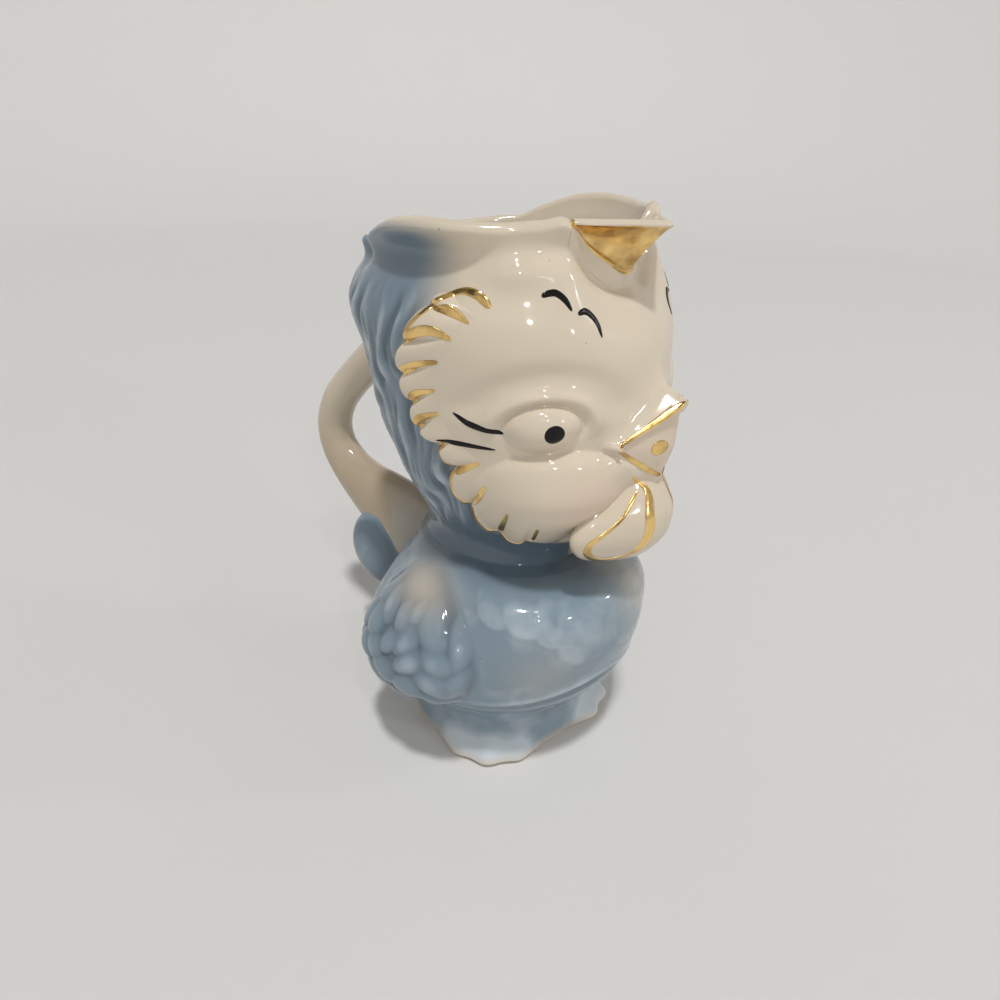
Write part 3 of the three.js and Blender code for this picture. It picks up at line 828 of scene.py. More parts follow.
def lip_column(across):
    """One section: up the forehead, up the hollow side, over the edge, down the inside and back."""
    share = np.sqrt(across**2 + LIP_TIP_ROUNDING**2) - LIP_TIP_ROUNDING
    edge = LIP_TIP + (LIP_CORNER - LIP_TIP) * share
    edge[0] = -LIP_CORNER[0] * across
    azimuth = LIP_FOOT_AZIMUTHS[-1] * across
    heights = lip_foot(abs(azimuth)) - LIP_APRON * np.linspace(1, 0, APRON_ROWS + 1)
    lift = SKIN_LIFT - EDGE_DIP * ease(-0.8 * LIP_APRON, -LIP_APRON, heights - heights[-1])
    apron = around(azimuth, head_skin(azimuth, heights) + lift, heights)
    foot = apron[-1]
    inward = -edge * (1, 1, 0) / np.linalg.norm(edge[:2])
    hollow = LIP_LEAST_HOLLOW + LIP_HOLLOW * np.sin(np.pi * min(abs(across) * LIP_HOLLOW_SPREAD, 1))
    pulled = (foot + edge) / 2 + inward * hollow
    shares = np.linspace(0, 1, LIP_ROWS + 1)
    beads = sum(band(bead, shares) for bead in LIP_BEADS) * ease(1, 0.8, abs(across))
    outer = bent(foot, pulled, edge, shares) - inward * beads[:, None]
    angles = np.linspace(0, np.pi, LIP_EDGE_STEPS + 1)[1:-1, None]
    half = LIP_EDGE_WALL / 2
    top = edge + inward * half * (1 - np.cos(angles)) + np.array((0, 0, half)) * np.sin(angles)
    inner_edge = edge + inward * LIP_EDGE_WALL
    inner_foot = apron[0] * (LIP_FOOT_SHARE, LIP_FOOT_SHARE, 1)
    inner = bent(inner_edge, pulled + inward * LIP_EDGE_WALL, inner_foot, shares[::2])
    return np.vstack([apron[:-1], outer, top, inner, apron[:1]])


lip_places = np.array([lip_column(across) for across in np.linspace(-1, 1, LIP_COLUMNS + 1)])
lip = glaze_piece("pouring_lip", grid_mesh(lip_places))

# %% [markdown]
# The body
#
# The body is a plump pear, full at the chest and falling away to a narrow back, turned a little to one side.
# The wings, the breast feathers and the ridges of the back are raised on it in soft relief under the glaze.
# As on the head, outlines are blended round the jug, and each feather is a small swelling with a groove.

# %% Body form
PLINTH_HEIGHT = 20.0
SEAM = 0.2
BODY_TURN = 12
BODY_BOTTOM = PLINTH_HEIGHT + SEAM
BODY_RISE = HEAD_BOTTOM - BODY_BOTTOM + SEAM
BODY_LEVELS = [0, 0.09, 0.155, 0.2, 0.37, 0.54, 0.7, 0.83, 0.925, 1, 1.1]
BODY_TOP = BODY_LEVELS[-1]
chest_outline = smooth_through(BODY_LEVELS, [31.5, 34.2, 37.4, 38.7, 41.2, 42.5, 42.6, 41.4, 37.6, 28.5, 13])
flank_outline = smooth_through(BODY_LEVELS, [31.5, 35, 38, 39.2, 40.4, 38.6, 34.4, 30, 27, 24.6, 20])
rump_outline = smooth_through(BODY_LEVELS, [31.5, 35, 37.6, 38.6, 39.2, 35, 31, 27.6, 25.2, 23.6, 20])
WING_AZIMUTH = 82
WING_HEIGHT = 43
WING_HALF_ANGLE = 32
WING_HALF_UP = 20
WING_HALF_DOWN = 18.5
WING_LIFT = 6.2
WING_ROUNDNESS = 0.8
WING_EDGE_SOFTNESS = 0.012


def wrapped(azimuth):
    return (azimuth + 180) % 360 - 180


def body_side(azimuth):
    """Degrees from the middle of the chest, the same on both sides."""
    return np.abs(wrapped(azimuth - BODY_TURN))


def plain_body(azimuth, level):
    turn = np.radians(azimuth - BODY_TURN)
    end = np.where(np.cos(turn) > 0, chest_outline(level), rump_outline(level))
    side = flank_outline(level)
    return side + (end - side) * (1 - np.sin(turn) ** ROUNDNESS)


def wing_out(azimuth, height):
    across = body_side(azimuth) - WING_AZIMUTH
    return oval(across, height - WING_HEIGHT, WING_HALF_ANGLE, WING_HALF_UP, WING_HALF_DOWN)


def wing_lift(azimuth, height):
    inside = 1 - wing_out(azimuth, height) ** 2
    pad = (inside + np.sqrt(inside**2 + WING_EDGE_SOFTNESS)) / 2
    return WING_LIFT * np.clip(pad, 0, None) ** WING_ROUNDNESS


print("radius of the plain chest:", round(float(plain_body(12.0, 0.6)), 1))

# %% Feathers of the body
WING_MM_PER_DEGREE = 0.8
TUFT_LIFT = 1.7
TUFT_SPREAD = 1.12
TUFT_ROUNDNESS = 0.7
FEATHER_LIFT = 0.36
FEATHER_FACING = (0.75, -0.66)
FEATHER_EDGE = (1.06, 0.86)
FEATHER_FADE = (-0.7, 0.7)
BREAST_TOP = (60, 64)
RIDGE_HEIGHT = 31.5
RIDGE_RISE = 5.5
BELLY_RIDGE = (0.5, 0, 0.9)
BELLY_GROOVE = (-0.6, 2.4, 1.4)
BACK_RIDGE_LIFT = 0.4
BACK_RIDGE_SPACING = 12
BREAST_FEATHERS = [(45.5, 61.5, 8.6, 6), (34, 61, 9.2, 7), (24, 57, 7.5, 6), (11, 54, 13.4, 10.4)]
WING_TUFTS = [
    (0.5, 9.6, 3.6, 3.2), (8.5, 8.4, 3.6, 3.2), (-11, 8.6, 5.2, 5), (-3.2, 4.8, 3.8, 3.8),
    (2.3, 3.6, 3.2, 3.2), (-14.2, 2.6, 5.6, 3.8), (-6.6, -0.6, 4.2, 3.6), (-15.6, -3.8, 6.2, 4.6),
    (1, -4.6, 4.6, 4), (-6.6, -8.4, 5.2, 4.4), (6.5, -1.2, 4.2, 3.6), (-19.5, 7.5, 3.2, 6.6),
    (-20.8, -2, 3.6, 4.8), (12, 3, 4.6, 4.2), (13, -6, 4.8, 4.6), (6, -9.6, 5, 4.4),
    (15.5, 9.5, 4.2, 4.2), (19, 2, 4.2, 5), (-15, -11, 5.6, 4.2), (0, -13.6, 5.6, 3.8),
    (11, -13, 5, 4), (19, -6, 4.2, 4.8), (-4.4, 10.6, 3, 2.6),
]


def wing_tufts(azimuth, height):
    """Puffed tufts of down: the tallest of many small domes at each place."""
    across = (body_side(azimuth) - WING_AZIMUTH) * WING_MM_PER_DEGREE
    up = height - WING_HEIGHT
    swayed_across = across + 1.1 * np.sin(up / 2.9)
    swayed_up = up + 1.2 * np.sin(across / 3.3 + 1)
    tallest = np.zeros(np.broadcast(across, up).shape)
    for middle, rise, half_across, half_up in WING_TUFTS:
        out = np.hypot((swayed_across - middle) / half_across, (swayed_up - rise) / half_up)
        tallest = np.maximum(tallest, dome(out / TUFT_SPREAD, TUFT_ROUNDNESS))
    return tallest


def breast_relief(azimuth, height):
    """Breast feathers, each with a crisp edge towards the wing and below, and fading away opposite."""
    side = body_side(azimuth)
    relief = np.zeros(np.broadcast(side, height).shape)
    for middle, centre, half_across, half_up in BREAST_FEATHERS:
        across = (side - middle) / half_across
        up = (height - centre) / half_up
        shown = ease(*FEATHER_FADE, FEATHER_FACING[0] * across + FEATHER_FACING[1] * up)
        relief = np.maximum(relief, ease(*FEATHER_EDGE, np.hypot(across, up)) * shown)
    return FEATHER_LIFT * relief * (1 - ease(*BREAST_TOP, height))


def belly_ridge(azimuth, height):
    """The lower edge of the breast: a ridge with a groove below it, higher in the middle."""
    side = body_side(azimuth)
    below = RIDGE_HEIGHT + RIDGE_RISE * ease(50, -10, side) - height
    return (band(BELLY_RIDGE, below) + band(BELLY_GROOVE, below)) * ease(80, 60, side)


def back_relief(azimuth, height):
    side = body_side(azimuth)
    wave = side / BACK_RIDGE_SPACING + 0.2 * np.sin(height / 4.7)
    ridges = BACK_RIDGE_LIFT * np.sin(2 * np.pi * wave)
    return ridges * ease(112, 122, side) * ease(26, 32, height) * (1 - ease(54, 62, height))


print("tufts on each wing:", len(WING_TUFTS))

# %% [markdown]
# The body's wall
#
# Where the body meets the head, the potter wipes the seam smooth with a wet finger.
# A boolean union would leave a hard line there, so the body's formula runs up on to the neck in a hollow
# curve and ends level with the head. The wall is then made in sections, as for the head.

# %% Body shell
BODY_COLUMNS = 400
BODY_ROWS = 110
WING_BED = 1.2
NECK_FILLET = 1.2
NECK_BLEND = 4
NECK_LEVELLING = (66, 68.9)
NECK_START = (62, 54)
NECK_SINK = 20
NECK_HOLLOW = (63, 67)


def neck_joined(azimuth, height, body):
    """The body's radius, carried up on to the neck in a hollow curve that ends level with the head."""
    neck = head_skin(azimuth, np.maximum(height, HEAD_BOTTOM)) + SKIN_LIFT
    neck = neck - NECK_FILLET * ease(*NECK_LEVELLING, height) / 4
    neck = neck - NECK_SINK * ease(*NECK_START, height)
    joined = (body + neck + np.hypot(body - neck, NECK_FILLET)) / 2
    return joined - (NECK_FILLET / 2) * hump(body - neck, NECK_BLEND) * ease(*NECK_HOLLOW, height)


def body_skin(azimuth, height):
    level = np.clip((height - BODY_BOTTOM) / BODY_RISE, 0, BODY_TOP)
    out = wing_out(azimuth, height)
    wing = ease(1.15, 0.85, out)
    relief = breast_relief(azimuth, height) + belly_ridge(azimuth, height) + back_relief(azimuth, height)
    tufts = TUFT_LIFT * wing_tufts(azimuth, height) * ease(1.02, 0.78, out)
    plain = plain_body(azimuth, level) + wing_lift(azimuth, height)
    return neck_joined(azimuth, height, plain + relief * (1 - wing) + tufts)


body_azimuths = np.linspace(-180, 180, BODY_COLUMNS + 1)
body_levels = np.linspace(0, BODY_TOP, BODY_ROWS + 1)
outer_height = np.repeat(BODY_BOTTOM + BODY_RISE * body_levels[None, :], BODY_COLUMNS + 1, 0)
outer_radius = body_skin(body_azimuths[:, None], outer_height)
outer_radius -= WING_BED * ease(1.0, 0.75, wing_out(body_azimuths[:, None], outer_height))
inner_levels = body_levels[np.linspace(0, BODY_ROWS, INNER_ROWS + 1).astype(int)]
inner_radius = plain_body(body_azimuths[:, None], np.minimum(inner_levels[None, :], 1)) - WALL
body_sections = wall_sections(outer_radius, outer_height, inner_radius, 0)
glaze_piece("body_shell", grid_mesh(ring_of_sections(body_azimuths, body_sections)))

# %% [markdown]
# The wings
#
# Each wing is a round pad of downy tufts, pressed on to the side of the body.
# The body's formula already swells there, so the wing is a patch on it with a finer grid than the body's.

# %% Wings
WING_STEPS = 110
WING_MARGIN = 1.04
WING_DEPTH = 4
WING_EDGE_SINK = 0.7


def make_wing(name, side):
    across, up = disc_grid(WING_STEPS)
    azimuth = BODY_TURN + side * (WING_AZIMUTH + WING_MARGIN * WING_HALF_ANGLE * across)
    height = WING_HEIGHT + WING_MARGIN * np.where(up > 0, WING_HALF_UP, WING_HALF_DOWN) * up
    front, back = patch_on(body_skin, azimuth, height, np.hypot(across, up), WING_DEPTH, WING_EDGE_SINK)
    glaze_piece(f"{name}_wing", sheet_with_back(front, back))


on_both_sides(make_wing)

# %% [markdown]
# The plinth
#
# The jug stands on a low skirt that narrows to the table, and its bare clay shows at the bottom edge.
# The skirt could be spun from an outline, but it swells out into a webbed foot on each side of the chest.
# So it is made in sections like the body, with a floor in the jug above its flat underside.

# %% Plinth
PLINTH_FOOT_RADIUS = 27.0
PLINTH_TOP_RADIUS = 33.0
PLINTH_COLUMNS = 320
PLINTH_ROWS = 49
PLINTH_OVERLAP = 0.4
FLOOR_THICKNESS = 6
PLINTH_LEVELS = [0, 0.8, 2.6, 6, 10, 15, 18, 20]
plinth_outline = smooth_through(PLINTH_LEVELS, [25.6, 26.9, 27.4, 27, 27, 28.6, 30.4, 31.5])
FOLD_LIFT = 0.25
FOLD_COUNT = 7
FOOT_AZIMUTH = 47
FOOT_HALF_ANGLE = 37
FOOT_HEIGHT = 12.5
FOOT_LIFT = 5.8
FOOT_BED = 0.5
TOE_SPACING = 19
LEFT_FOOT_EXTRA = 0.5


def foot_lift(azimuth, height):
    """A webbed foot: a wedge that slopes down from the skirt to soft toes."""
    turned = wrapped(azimuth - BODY_TURN)
    across = np.abs(turned) - FOOT_AZIMUTH
    toes = 0.9 + 0.1 * np.cos(2 * np.pi * across / TOE_SPACING)
    spread = np.clip(1 - (across / FOOT_HALF_ANGLE) ** 2, 0, 1) ** 1.3
    slope = (1 - ease(1.5, FOOT_HEIGHT, height)) * (0.8 + 0.2 * ease(0, 1.6, height))
    return FOOT_LIFT * (1 + LEFT_FOOT_EXTRA * (turned < 0)) * toes * spread * slope


def foot_inside(azimuth, height):
    """Above 0 where a foot's own piece covers the plinth."""
    across = (np.abs(wrapped(azimuth - BODY_TURN)) - FOOT_AZIMUTH) / FOOT_HALF_ANGLE
    return 1 - across**2 - (height / FOOT_HEIGHT) ** 2


def plinth_skin(azimuth, height):
    folds = FOLD_LIFT * np.sin(np.radians(azimuth) * FOLD_COUNT + height / 5)
    folds = folds * ease(3, 8, height) * (1 - ease(15, 20, height))
    return plinth_outline(height) + foot_lift(azimuth, height) + folds


plinth_azimuths = np.linspace(-180, 180, PLINTH_COLUMNS + 1)
heights = np.concatenate([[0], np.linspace(0, PLINTH_HEIGHT + PLINTH_OVERLAP, PLINTH_ROWS + 1)])
outer_height = np.repeat(heights[None, :], len(plinth_azimuths), 0)
outer_radius = plinth_skin(plinth_azimuths[:, None], outer_height)
outer_radius -= FOOT_BED * ease(0.04, 0.2, foot_inside(plinth_azimuths[:, None], outer_height))
outer_radius[:, 0] = 0
cup_radius = np.array([PLINTH_TOP_RADIUS - WALL, PLINTH_FOOT_RADIUS - WALL, 0])
cup_height = np.array([PLINTH_HEIGHT, FLOOR_THICKNESS, FLOOR_THICKNESS])
ring = np.ones((len(plinth_azimuths), 1))
plinth_radius = np.hstack([outer_radius, ring * cup_radius])
plinth_height = np.hstack([outer_height, ring * cup_height])
plinth_places = ring_of_sections(plinth_azimuths, (plinth_radius, plinth_height))
glaze_piece("plinth", grid_mesh(plinth_places))

# %% [markdown]
# The feet
#
# A webbed foot peeps out on each side of the chest. It is modelled into the skirt, with no seam round it.
# So the foot is a half-round patch that follows the plinth's own formula and dips under it at its edge.

# %% Feet
FOOT_COLUMNS = 80
FOOT_ROWS = 30
FOOT_DEPTH = 2


def make_foot(name, side):
    line = np.linspace(-1, 1, FOOT_COLUMNS + 1)
    across, up = np.meshgrid(line, np.linspace(0, 1, FOOT_ROWS + 1), indexing="ij")
    azimuth = BODY_TURN + side * (FOOT_AZIMUTH + FOOT_HALF_ANGLE * across)
    height = FOOT_HEIGHT * up * np.sqrt(np.clip(1 - across**2, 0, 1))
    edge = np.maximum(ease(0.9, 1, np.abs(across)), ease(0.9, 1, up))
    radius = plinth_skin(azimuth, height) + SKIN_LIFT - EDGE_DIP * edge
    inner = np.minimum(radius, plinth_outline(height) - 1 - FOOT_DEPTH * (1 - edge))
    inner = inner * (1 - edge) + radius * edge
    front = around(azimuth, radius, height)
    back = around(azimuth, inner, height)
    glaze_piece(f"{name}_foot", sheet_with_back(front, back))


on_both_sides(make_foot)

# %% [markdown]
# The handle
#
# The handle is a roll of clay, pressed on at the back of the head and at the rump, thicker at both ends.
# A bevelled curve has one round section, and this one is flattened where it is pressed on.
# So it is swept along a smooth curve in the middle plane, with a thickness and a width for each place.

# %% Handle
HANDLE_ROUTE = [
    (36, 113.6), (40, 112), (48.5, 107), (57, 100), (64.5, 93), (70.6, 85.6), (73.6, 77.5),
    (72.2, 69.6), (66.4, 63), (58.5, 58), (50, 54.2), (40, 50.5), (28, 47),
]
HANDLE_HALF_THICK = [8.6, 7.4, 6.0, 5.6, 5.6, 5.8, 6.1, 6.6, 7.8, 10, 12.8, 15, 17]
HANDLE_HALF_WIDE = [8.4, 7.2, 5.8, 5.4, 5.3, 5.4, 5.5, 5.6, 5.9, 6.2, 6.8, 7.6, 8.4]
HANDLE_COLUMNS = 140
HANDLE_SIDES = 48


def handle_section_places():
    """A ring of points, square to the route, for each place along it."""
    knots = np.arange(len(HANDLE_ROUTE))
    along = np.linspace(0, knots[-1], HANDLE_COLUMNS + 1)
    route_back = smooth_through(knots, [place[0] for place in HANDLE_ROUTE])(along)
    route_up = smooth_through(knots, [place[1] for place in HANDLE_ROUTE])(along)
    line = np.column_stack([route_back, route_up])
    tangent = np.gradient(line, axis=0)
    tangent /= np.linalg.norm(tangent, axis=1, keepdims=True)
    angles = np.linspace(0, 2 * np.pi, HANDLE_SIDES + 1)
    thick = smooth_through(knots, HANDLE_HALF_THICK)(along)[:, None] * np.sin(angles)
    wide = smooth_through(knots, HANDLE_HALF_WIDE)(along)[:, None] * np.cos(angles)
    back = line[:, :1] - tangent[:, 1:] * thick
    up = line[:, 1:] + tangent[:, :1] * thick
    return np.stack([wide, back, up], -1)


glaze_piece("handle", grid_mesh(handle_section_places()))

# %% [markdown]
# The tail
#
# The tail is a fan of three plump lobes below the handle, ribbed like feathers.
# Three balls joined by a boolean would meet in sharp creases. Here one ball is blown out from the tail's
# root, as far as the furthest lobe reaches in each direction, and the lobes run softly into each other.

# %% Tail
TAIL_ROOT = (0, 34, 39.5)
TAIL_TURNS = [-15, 0, 15]
TAIL_HALF = np.array((6, 15.4, 15.6))
TAIL_SET_OUT = 11.5
TAIL_SEGMENTS = 160
TAIL_RINGS = 96
LOBE_SHARPNESS = 20
RIB_LIFT = 0.35
RIB_WAVES = 28.8


def tail_reach(towards):
    """How far the tail reaches from its root: the three lobes are ovals that all contain the root."""
    sharp = 0
    for turn in np.radians(TAIL_TURNS):
        across = towards[:, 0] * np.cos(turn) + towards[:, 1] * np.sin(turn)
        back = towards[:, 1] * np.cos(turn) - towards[:, 0] * np.sin(turn)
        line = np.column_stack([across, back, towards[:, 2]]) / TAIL_HALF
        start = np.array((0, -TAIL_SET_OUT, 0)) / TAIL_HALF
        steep = np.sum(line**2, 1)
        slant = line @ start
        reach = (np.sqrt(slant**2 + steep * (1 - start @ start)) - slant) / steep
        sharp = sharp + reach**LOBE_SHARPNESS
    fanned = np.arctan2(towards[:, 0], towards[:, 1] + 0.3)
    ribs = RIB_LIFT * np.sin(RIB_WAVES * fanned) * np.clip(towards[:, 1], 0, 1)
    return sharp ** (1 / LOBE_SHARPNESS) + ribs


def make_tail():
    bm = bmesh.new()
    bmesh.ops.create_uvsphere(bm, u_segments=TAIL_SEGMENTS, v_segments=TAIL_RINGS, radius=1)
    towards = np.array([vertex.co for vertex in bm.verts])
    for vertex, reach in zip(bm.verts, tail_reach(towards)):
        vertex.co = vertex.co * reach + Vector(TAIL_ROOT)
    glaze_piece("tail", bm)


make_tail()

# %% [markdown]
# Painted lines
#
# The gilding and the black brows, lashes and pupils are brushed on over the glaze, so they lie on top of it.
# They could be painted in a texture, but thin raised strokes keep sharp edges in any view and in the mesh.
# A stroke is a flat tube along a smooth line. Rays towards the jug's axis find the skin below its points.

# %% Strokes
STROKE_SIDES = 12
STROKE_STEPS = 14
STROKE_LIFT = 0.16
STROKE_SUNK = 0.25
STROKE_END_POWER = 8
RAY_START = 120.0


def skin_at(azimuth, height, names):
    """Place and outward normal of the outermost of the named skins."""
    start = Vector(around(azimuth, RAY_START, height))
    towards = Vector(around(azimuth, -1.0, 0.0))
    hits = [skins[name].ray_cast(start, towards) for name in names]
    hits = [hit for hit in hits if hit[0] is not None]
    nearest = min(hits, key=lambda hit: hit[3])
    return np.array(nearest[0]), np.array(nearest[1])


def stroke_places(points, widths, names, side):
    """Columns of points of a flat tube: points are azimuth and height, widths are in millimetres."""
    knots = np.linspace(0, 1, len(points))
    steps = np.linspace(0, 1, STROKE_STEPS * len(points))
    azimuth = smooth_through(knots, [point[0] for point in points])(steps) * SKIN_MM_PER_DEGREE
    height = smooth_through(knots, [point[1] for point in points])(steps)
    width = smooth_through(np.linspace(0, 1, len(widths)), widths)(steps)
    width = width * np.sqrt(np.clip(1 - np.abs(2 * steps - 1) ** STROKE_END_POWER, 0, 1))
    centres = np.column_stack([azimuth, height])
    slope = np.gradient(centres, axis=0)
    slope /= np.linalg.norm(slope, axis=1, keepdims=True)
    columns = []
    for centre, flow, wide in zip(centres, slope, width):
        column = []
        for angle in np.linspace(0, 2 * np.pi, STROKE_SIDES + 1):
            across = np.cos(angle) * wide / 2
            place = centre + across * np.array((-flow[1], flow[0]))
            ground, normal = skin_at(side * place[0] / SKIN_MM_PER_DEGREE, place[1], names)
            thickness = STROKE_LIFT if angle < np.pi else STROKE_SUNK
            column.append(ground + normal * thickness * np.sin(angle))
        columns.append(column)
    return np.array(columns)


def make_strokes(name, strokes, names):
    whole = bmesh.new()
    for points, widths in strokes:
        for side in SIDES.values():
            join_into(whole, grid_mesh(stroke_places(points, widths, names, side)))
    return make_piece(name, whole)


print("strokes lie", STROKE_LIFT, "mm above the glaze")

# %% Black strokes
FACE_SKINS = ["head_shell", "right_eye", "left_eye", "right_fringe", "left_fringe"]
BROW_STROKES = [
    ([(47, 136.2), (44.7, 136.7), (42, 136.7), (39.1, 135.4), (37, 133.4)], [1.1, 1.3, 1.35, 1.3, 0.8]),
    ([(35, 132.8), (31.9, 133.1), (29, 132), (27.1, 130.3), (26.3, 127.9)], [1.1, 1.3, 1.3, 1.2, 0.7]),
]
LASH_STROKES = [
    ([(73.7, 111.1), (67.2, 108.9), (56.7, 107.7)], [0.6, 1.5, 1.0]),
    ([(80.3, 103.6), (71.4, 103.7), (59.2, 103.5)], [0.6, 1.3, 0.6]),
]
brows = make_strokes("brows", BROW_STROKES, FACE_SKINS)
lashes = make_strokes("lashes", LASH_STROKES, FACE_SKINS)

# %% Gilt strokes
FRINGE_STROKES = [
    ([(84.6, 130.4), (79.4, 134.1), (72.4, 136.3), (66.7, 136), (62.3, 133.8)], [0.8, 1.0, 1.3, 1.8, 1.9]),
    ([(79.8, 132.9), (73.9, 132.8), (68, 130.6)], [0.8, 2.3, 0.5]),
    ([(90, 124.9), (84.3, 127.8), (79, 128.6), (73.1, 127.2)], [1.2, 2.2, 2.1, 1.3]),
    ([(90, 124.9), (87.2, 128), (83.8, 131), (80, 133.4)], [0.9, 0.8, 0.9, 1.0]),
    ([(92.4, 117.9), (85.1, 120.8), (77.5, 122.2)], [2.6, 1.6, 1.0]),
    ([(89.5, 111.2), (86.6, 113.9), (79.2, 115.6)], [2.0, 1.8, 0.8]),
    ([(88.5, 105), (85.7, 108.2), (78.5, 110.3)], [2.0, 2.0, 0.8]),
    ([(80.2, 99.4), (80.6, 101), (77.5, 103)], [0.6, 1.4, 1.6]),
    ([(64.6, 99.5), (70, 97.4), (74.5, 95.6)], [0.8, 1.6, 1.8]),
    ([(62.5, 93.8), (66.3, 89.1), (69.2, 86.6)], [1.4, 1.6, 1.4]),
    ([(54.3, 88.2), (56, 83), (57.2, 79.4)], [0.8, 1.6, 2.0]),
    ([(43.6, 84.4), (43.4, 81), (43, 78)], [0.8, 1.0, 1.2]),
]
EDGED_PETALS = [6, 7, 8, 9]
EDGE_POINTS = 7
EDGE_MARGIN = 0.05
EDGE_INWARD = 0.12
EDGE_LINE_WIDTHS = [1.5, 0.7, 0.7, 1.5]
BEAK_SKINS = ["upper_beak", "lower_beak", "head_shell", "tongue"]
BEAK_LINE_WIDTHS = [0.9, 1.2, 1.2]
BEAK_LINE_POINTS = 7
BEAK_LINE_END = 0.4
BEAK_LINE_INSET = 0.35
WATTLE_SKINS = ["right_wattle", "left_wattle", "head_shell", "lower_beak"]
WATTLE_LOOP = [
    (11.9, 95.6), (7.9, 93), (6.1, 91.6), (6.1, 89.5), (7.6, 85.8), (7.8, 81.7), (8.7, 78.1), (10.6, 75.2),
    (15.4, 73.6), (21.4, 74.2), (26.7, 77.4), (27.2, 80.2), (24.6, 82), (20.8, 83.8), (16.3, 86.1),
    (12.6, 88.8), (8.9, 91.5),
]
WATTLE_WIDTHS = [1.3, 1.3, 1.6, 1.9, 2.2, 2.3, 2.2, 1.8, 1.5, 1.5, 1.6, 1.5, 1.2, 0.9, 0.8, 1.0, 1.2]


def petal_edge(petal):
    """A thin gilt line just inside a petal's edge."""
    along = np.linspace(petal + EDGE_MARGIN, petal + 1 - EDGE_MARGIN, EDGE_POINTS)
    azimuth, height, _, _ = petal_places(along, np.full(EDGE_POINTS, EDGE_INWARD))
    return list(zip(azimuth, height)), EDGE_LINE_WIDTHS


def beak_line(edge_at, inset):
    """A gilt line along an edge of the beak, from the corner of the mouth to the tip."""
    azimuth = np.linspace(MOUTH_AZIMUTH, BEAK_LINE_END, BEAK_LINE_POINTS)
    return list(zip(azimuth, edge_at(azimuth)[1] + inset)), BEAK_LINE_WIDTHS


fringe_strokes = FRINGE_STROKES + [petal_edge(petal) for petal in EDGED_PETALS]
beak_strokes = [beak_line(upper_edge, BEAK_LINE_INSET), beak_line(lower_edge, -BEAK_LINE_INSET)]
gilt_fringe = make_strokes("gilt_fringe", fringe_strokes, FACE_SKINS)
gilt_beak = make_strokes("gilt_beak", beak_strokes, BEAK_SKINS)
gilt_wattle = make_strokes("gilt_wattle", [(WATTLE_LOOP, WATTLE_WIDTHS)], WATTLE_SKINS)

# %% Pupils
PUPIL_PLACE = (41.9, 108.8)
PUPIL_HALF = (2.1, 2.15)
TONGUE_DOT_PLACE = (5.2, 102.3)
TONGUE_DOT_HALF = (1.9, 1.9)
SPOT_STEPS = 16


def make_spot(name, place, half, names, sides):
    """A painted spot: a thin round pad, thickest in its middle."""
    whole = bmesh.new()
    across, up = disc_grid(SPOT_STEPS)
    thick = np.sqrt(np.clip(1 - across**2 - up**2, 0, 1))
    for side in sides:
        front = np.zeros((*across.shape, 3))
        back = np.zeros((*across.shape, 3))
        for spot in np.ndindex(across.shape):
            azimuth = side * (place[0] + half[0] * across[spot] / SKIN_MM_PER_DEGREE)
            ground, normal = skin_at(azimuth, place[1] + half[1] * up[spot], names)
            front[spot] = ground + normal * STROKE_LIFT * thick[spot]
            back[spot] = ground - normal * STROKE_SUNK * thick[spot]
        join_into(whole, sheet_with_back(front, back))
    return make_piece(name, whole)


pupils = make_spot("pupils", PUPIL_PLACE, PUPIL_HALF, FACE_SKINS, SIDES.values())
right_side = [SIDES["right"]]
gilt_tongue = make_spot("gilt_tongue", TONGUE_DOT_PLACE, TONGUE_DOT_HALF, ["tongue"], right_side)

# %% [markdown]
# Where the colours lie
#
# The blue is sprayed on before firing, so it fades softly into the cream. It pools in grooves and thins on
# ridges. Painting that by hand would need a texture, so each vertex carries four numbers instead: how blue
# it is, how raised, how rosy and how darkened to tan. The second also carries painted light on the feet and
# painted shade in the neck. The fourth is painted shade on the handle, and it darkens the wattles a little.
# The glaze reads these attributes.

# %% Colour attributes
INSIDE_DEPTH = 1.5
WALL_SKINS = {"head_shell": head_skin, "body_shell": body_skin, "plinth": plinth_skin}
ROSY_NODES = [
    "head_shell", "right_eye", "left_eye", "right_fringe", "left_fringe", "upper_beak", "lower_beak",
]
BLUE_BODY = ["body_shell", "right_wing", "left_wing", "plinth", "right_foot", "left_foot"]
ATTRIBUTES = ["blue", "relief_and_light", "rosy", "darkened_to_tan"]
SHOULDER_PALENESS = 0.62
BREAST_PALENESS = 0.45
BELLY_PALENESS = 0.2
EDGE_PALENESS = 0.8
# Painted light on the feet, which the body above them shades.
FOOT_PAINTED_LIGHT = 3.0
# Painted shade in the neck and on the top of the chest under the head.
NECK_PAINTED_SHADE = 1.6
WATTLE_DARKENING = 0.12
TONGUE_ROSE = 0.5


def blue_of_head(azimuth, height):
    """The hood is blue outside the mask, and the crown above it is blue behind the brows."""
    side = np.abs(azimuth)
    beside = np.maximum(ease(52, 70, side), ease(79, 75.5, height))
    hood = ease(2, -2.5, inside_mask(azimuth, height)) * beside
    crown = ease(69, 93, side) * (1 - ease(145, 150, height) * ease(150, 120, side))
    return hood + (crown - hood) * ease(122, 134, height)


def blue_of_body(azimuth, height):
    """Blue all over, but for pale places on shoulder, breast and belly and the bare bottom edge."""
    shoulder = SHOULDER_PALENESS * mound(body_side(azimuth), height, (84, 58), (18, 4.6))
    breast = BREAST_PALENESS * mound(azimuth, height, (-8, 58), (14, 9))
    belly = BELLY_PALENESS * mound(azimuth, height, (38, 42), (14, 9))
    edge = EDGE_PALENESS * ease(5, 0.8, height)
    return np.clip(1 - shoulder - breast - belly - edge, 0, 1)


def rosy_share(azimuth, height):
    return mound(np.abs(azimuth), height, (27, 90), (13, 8))


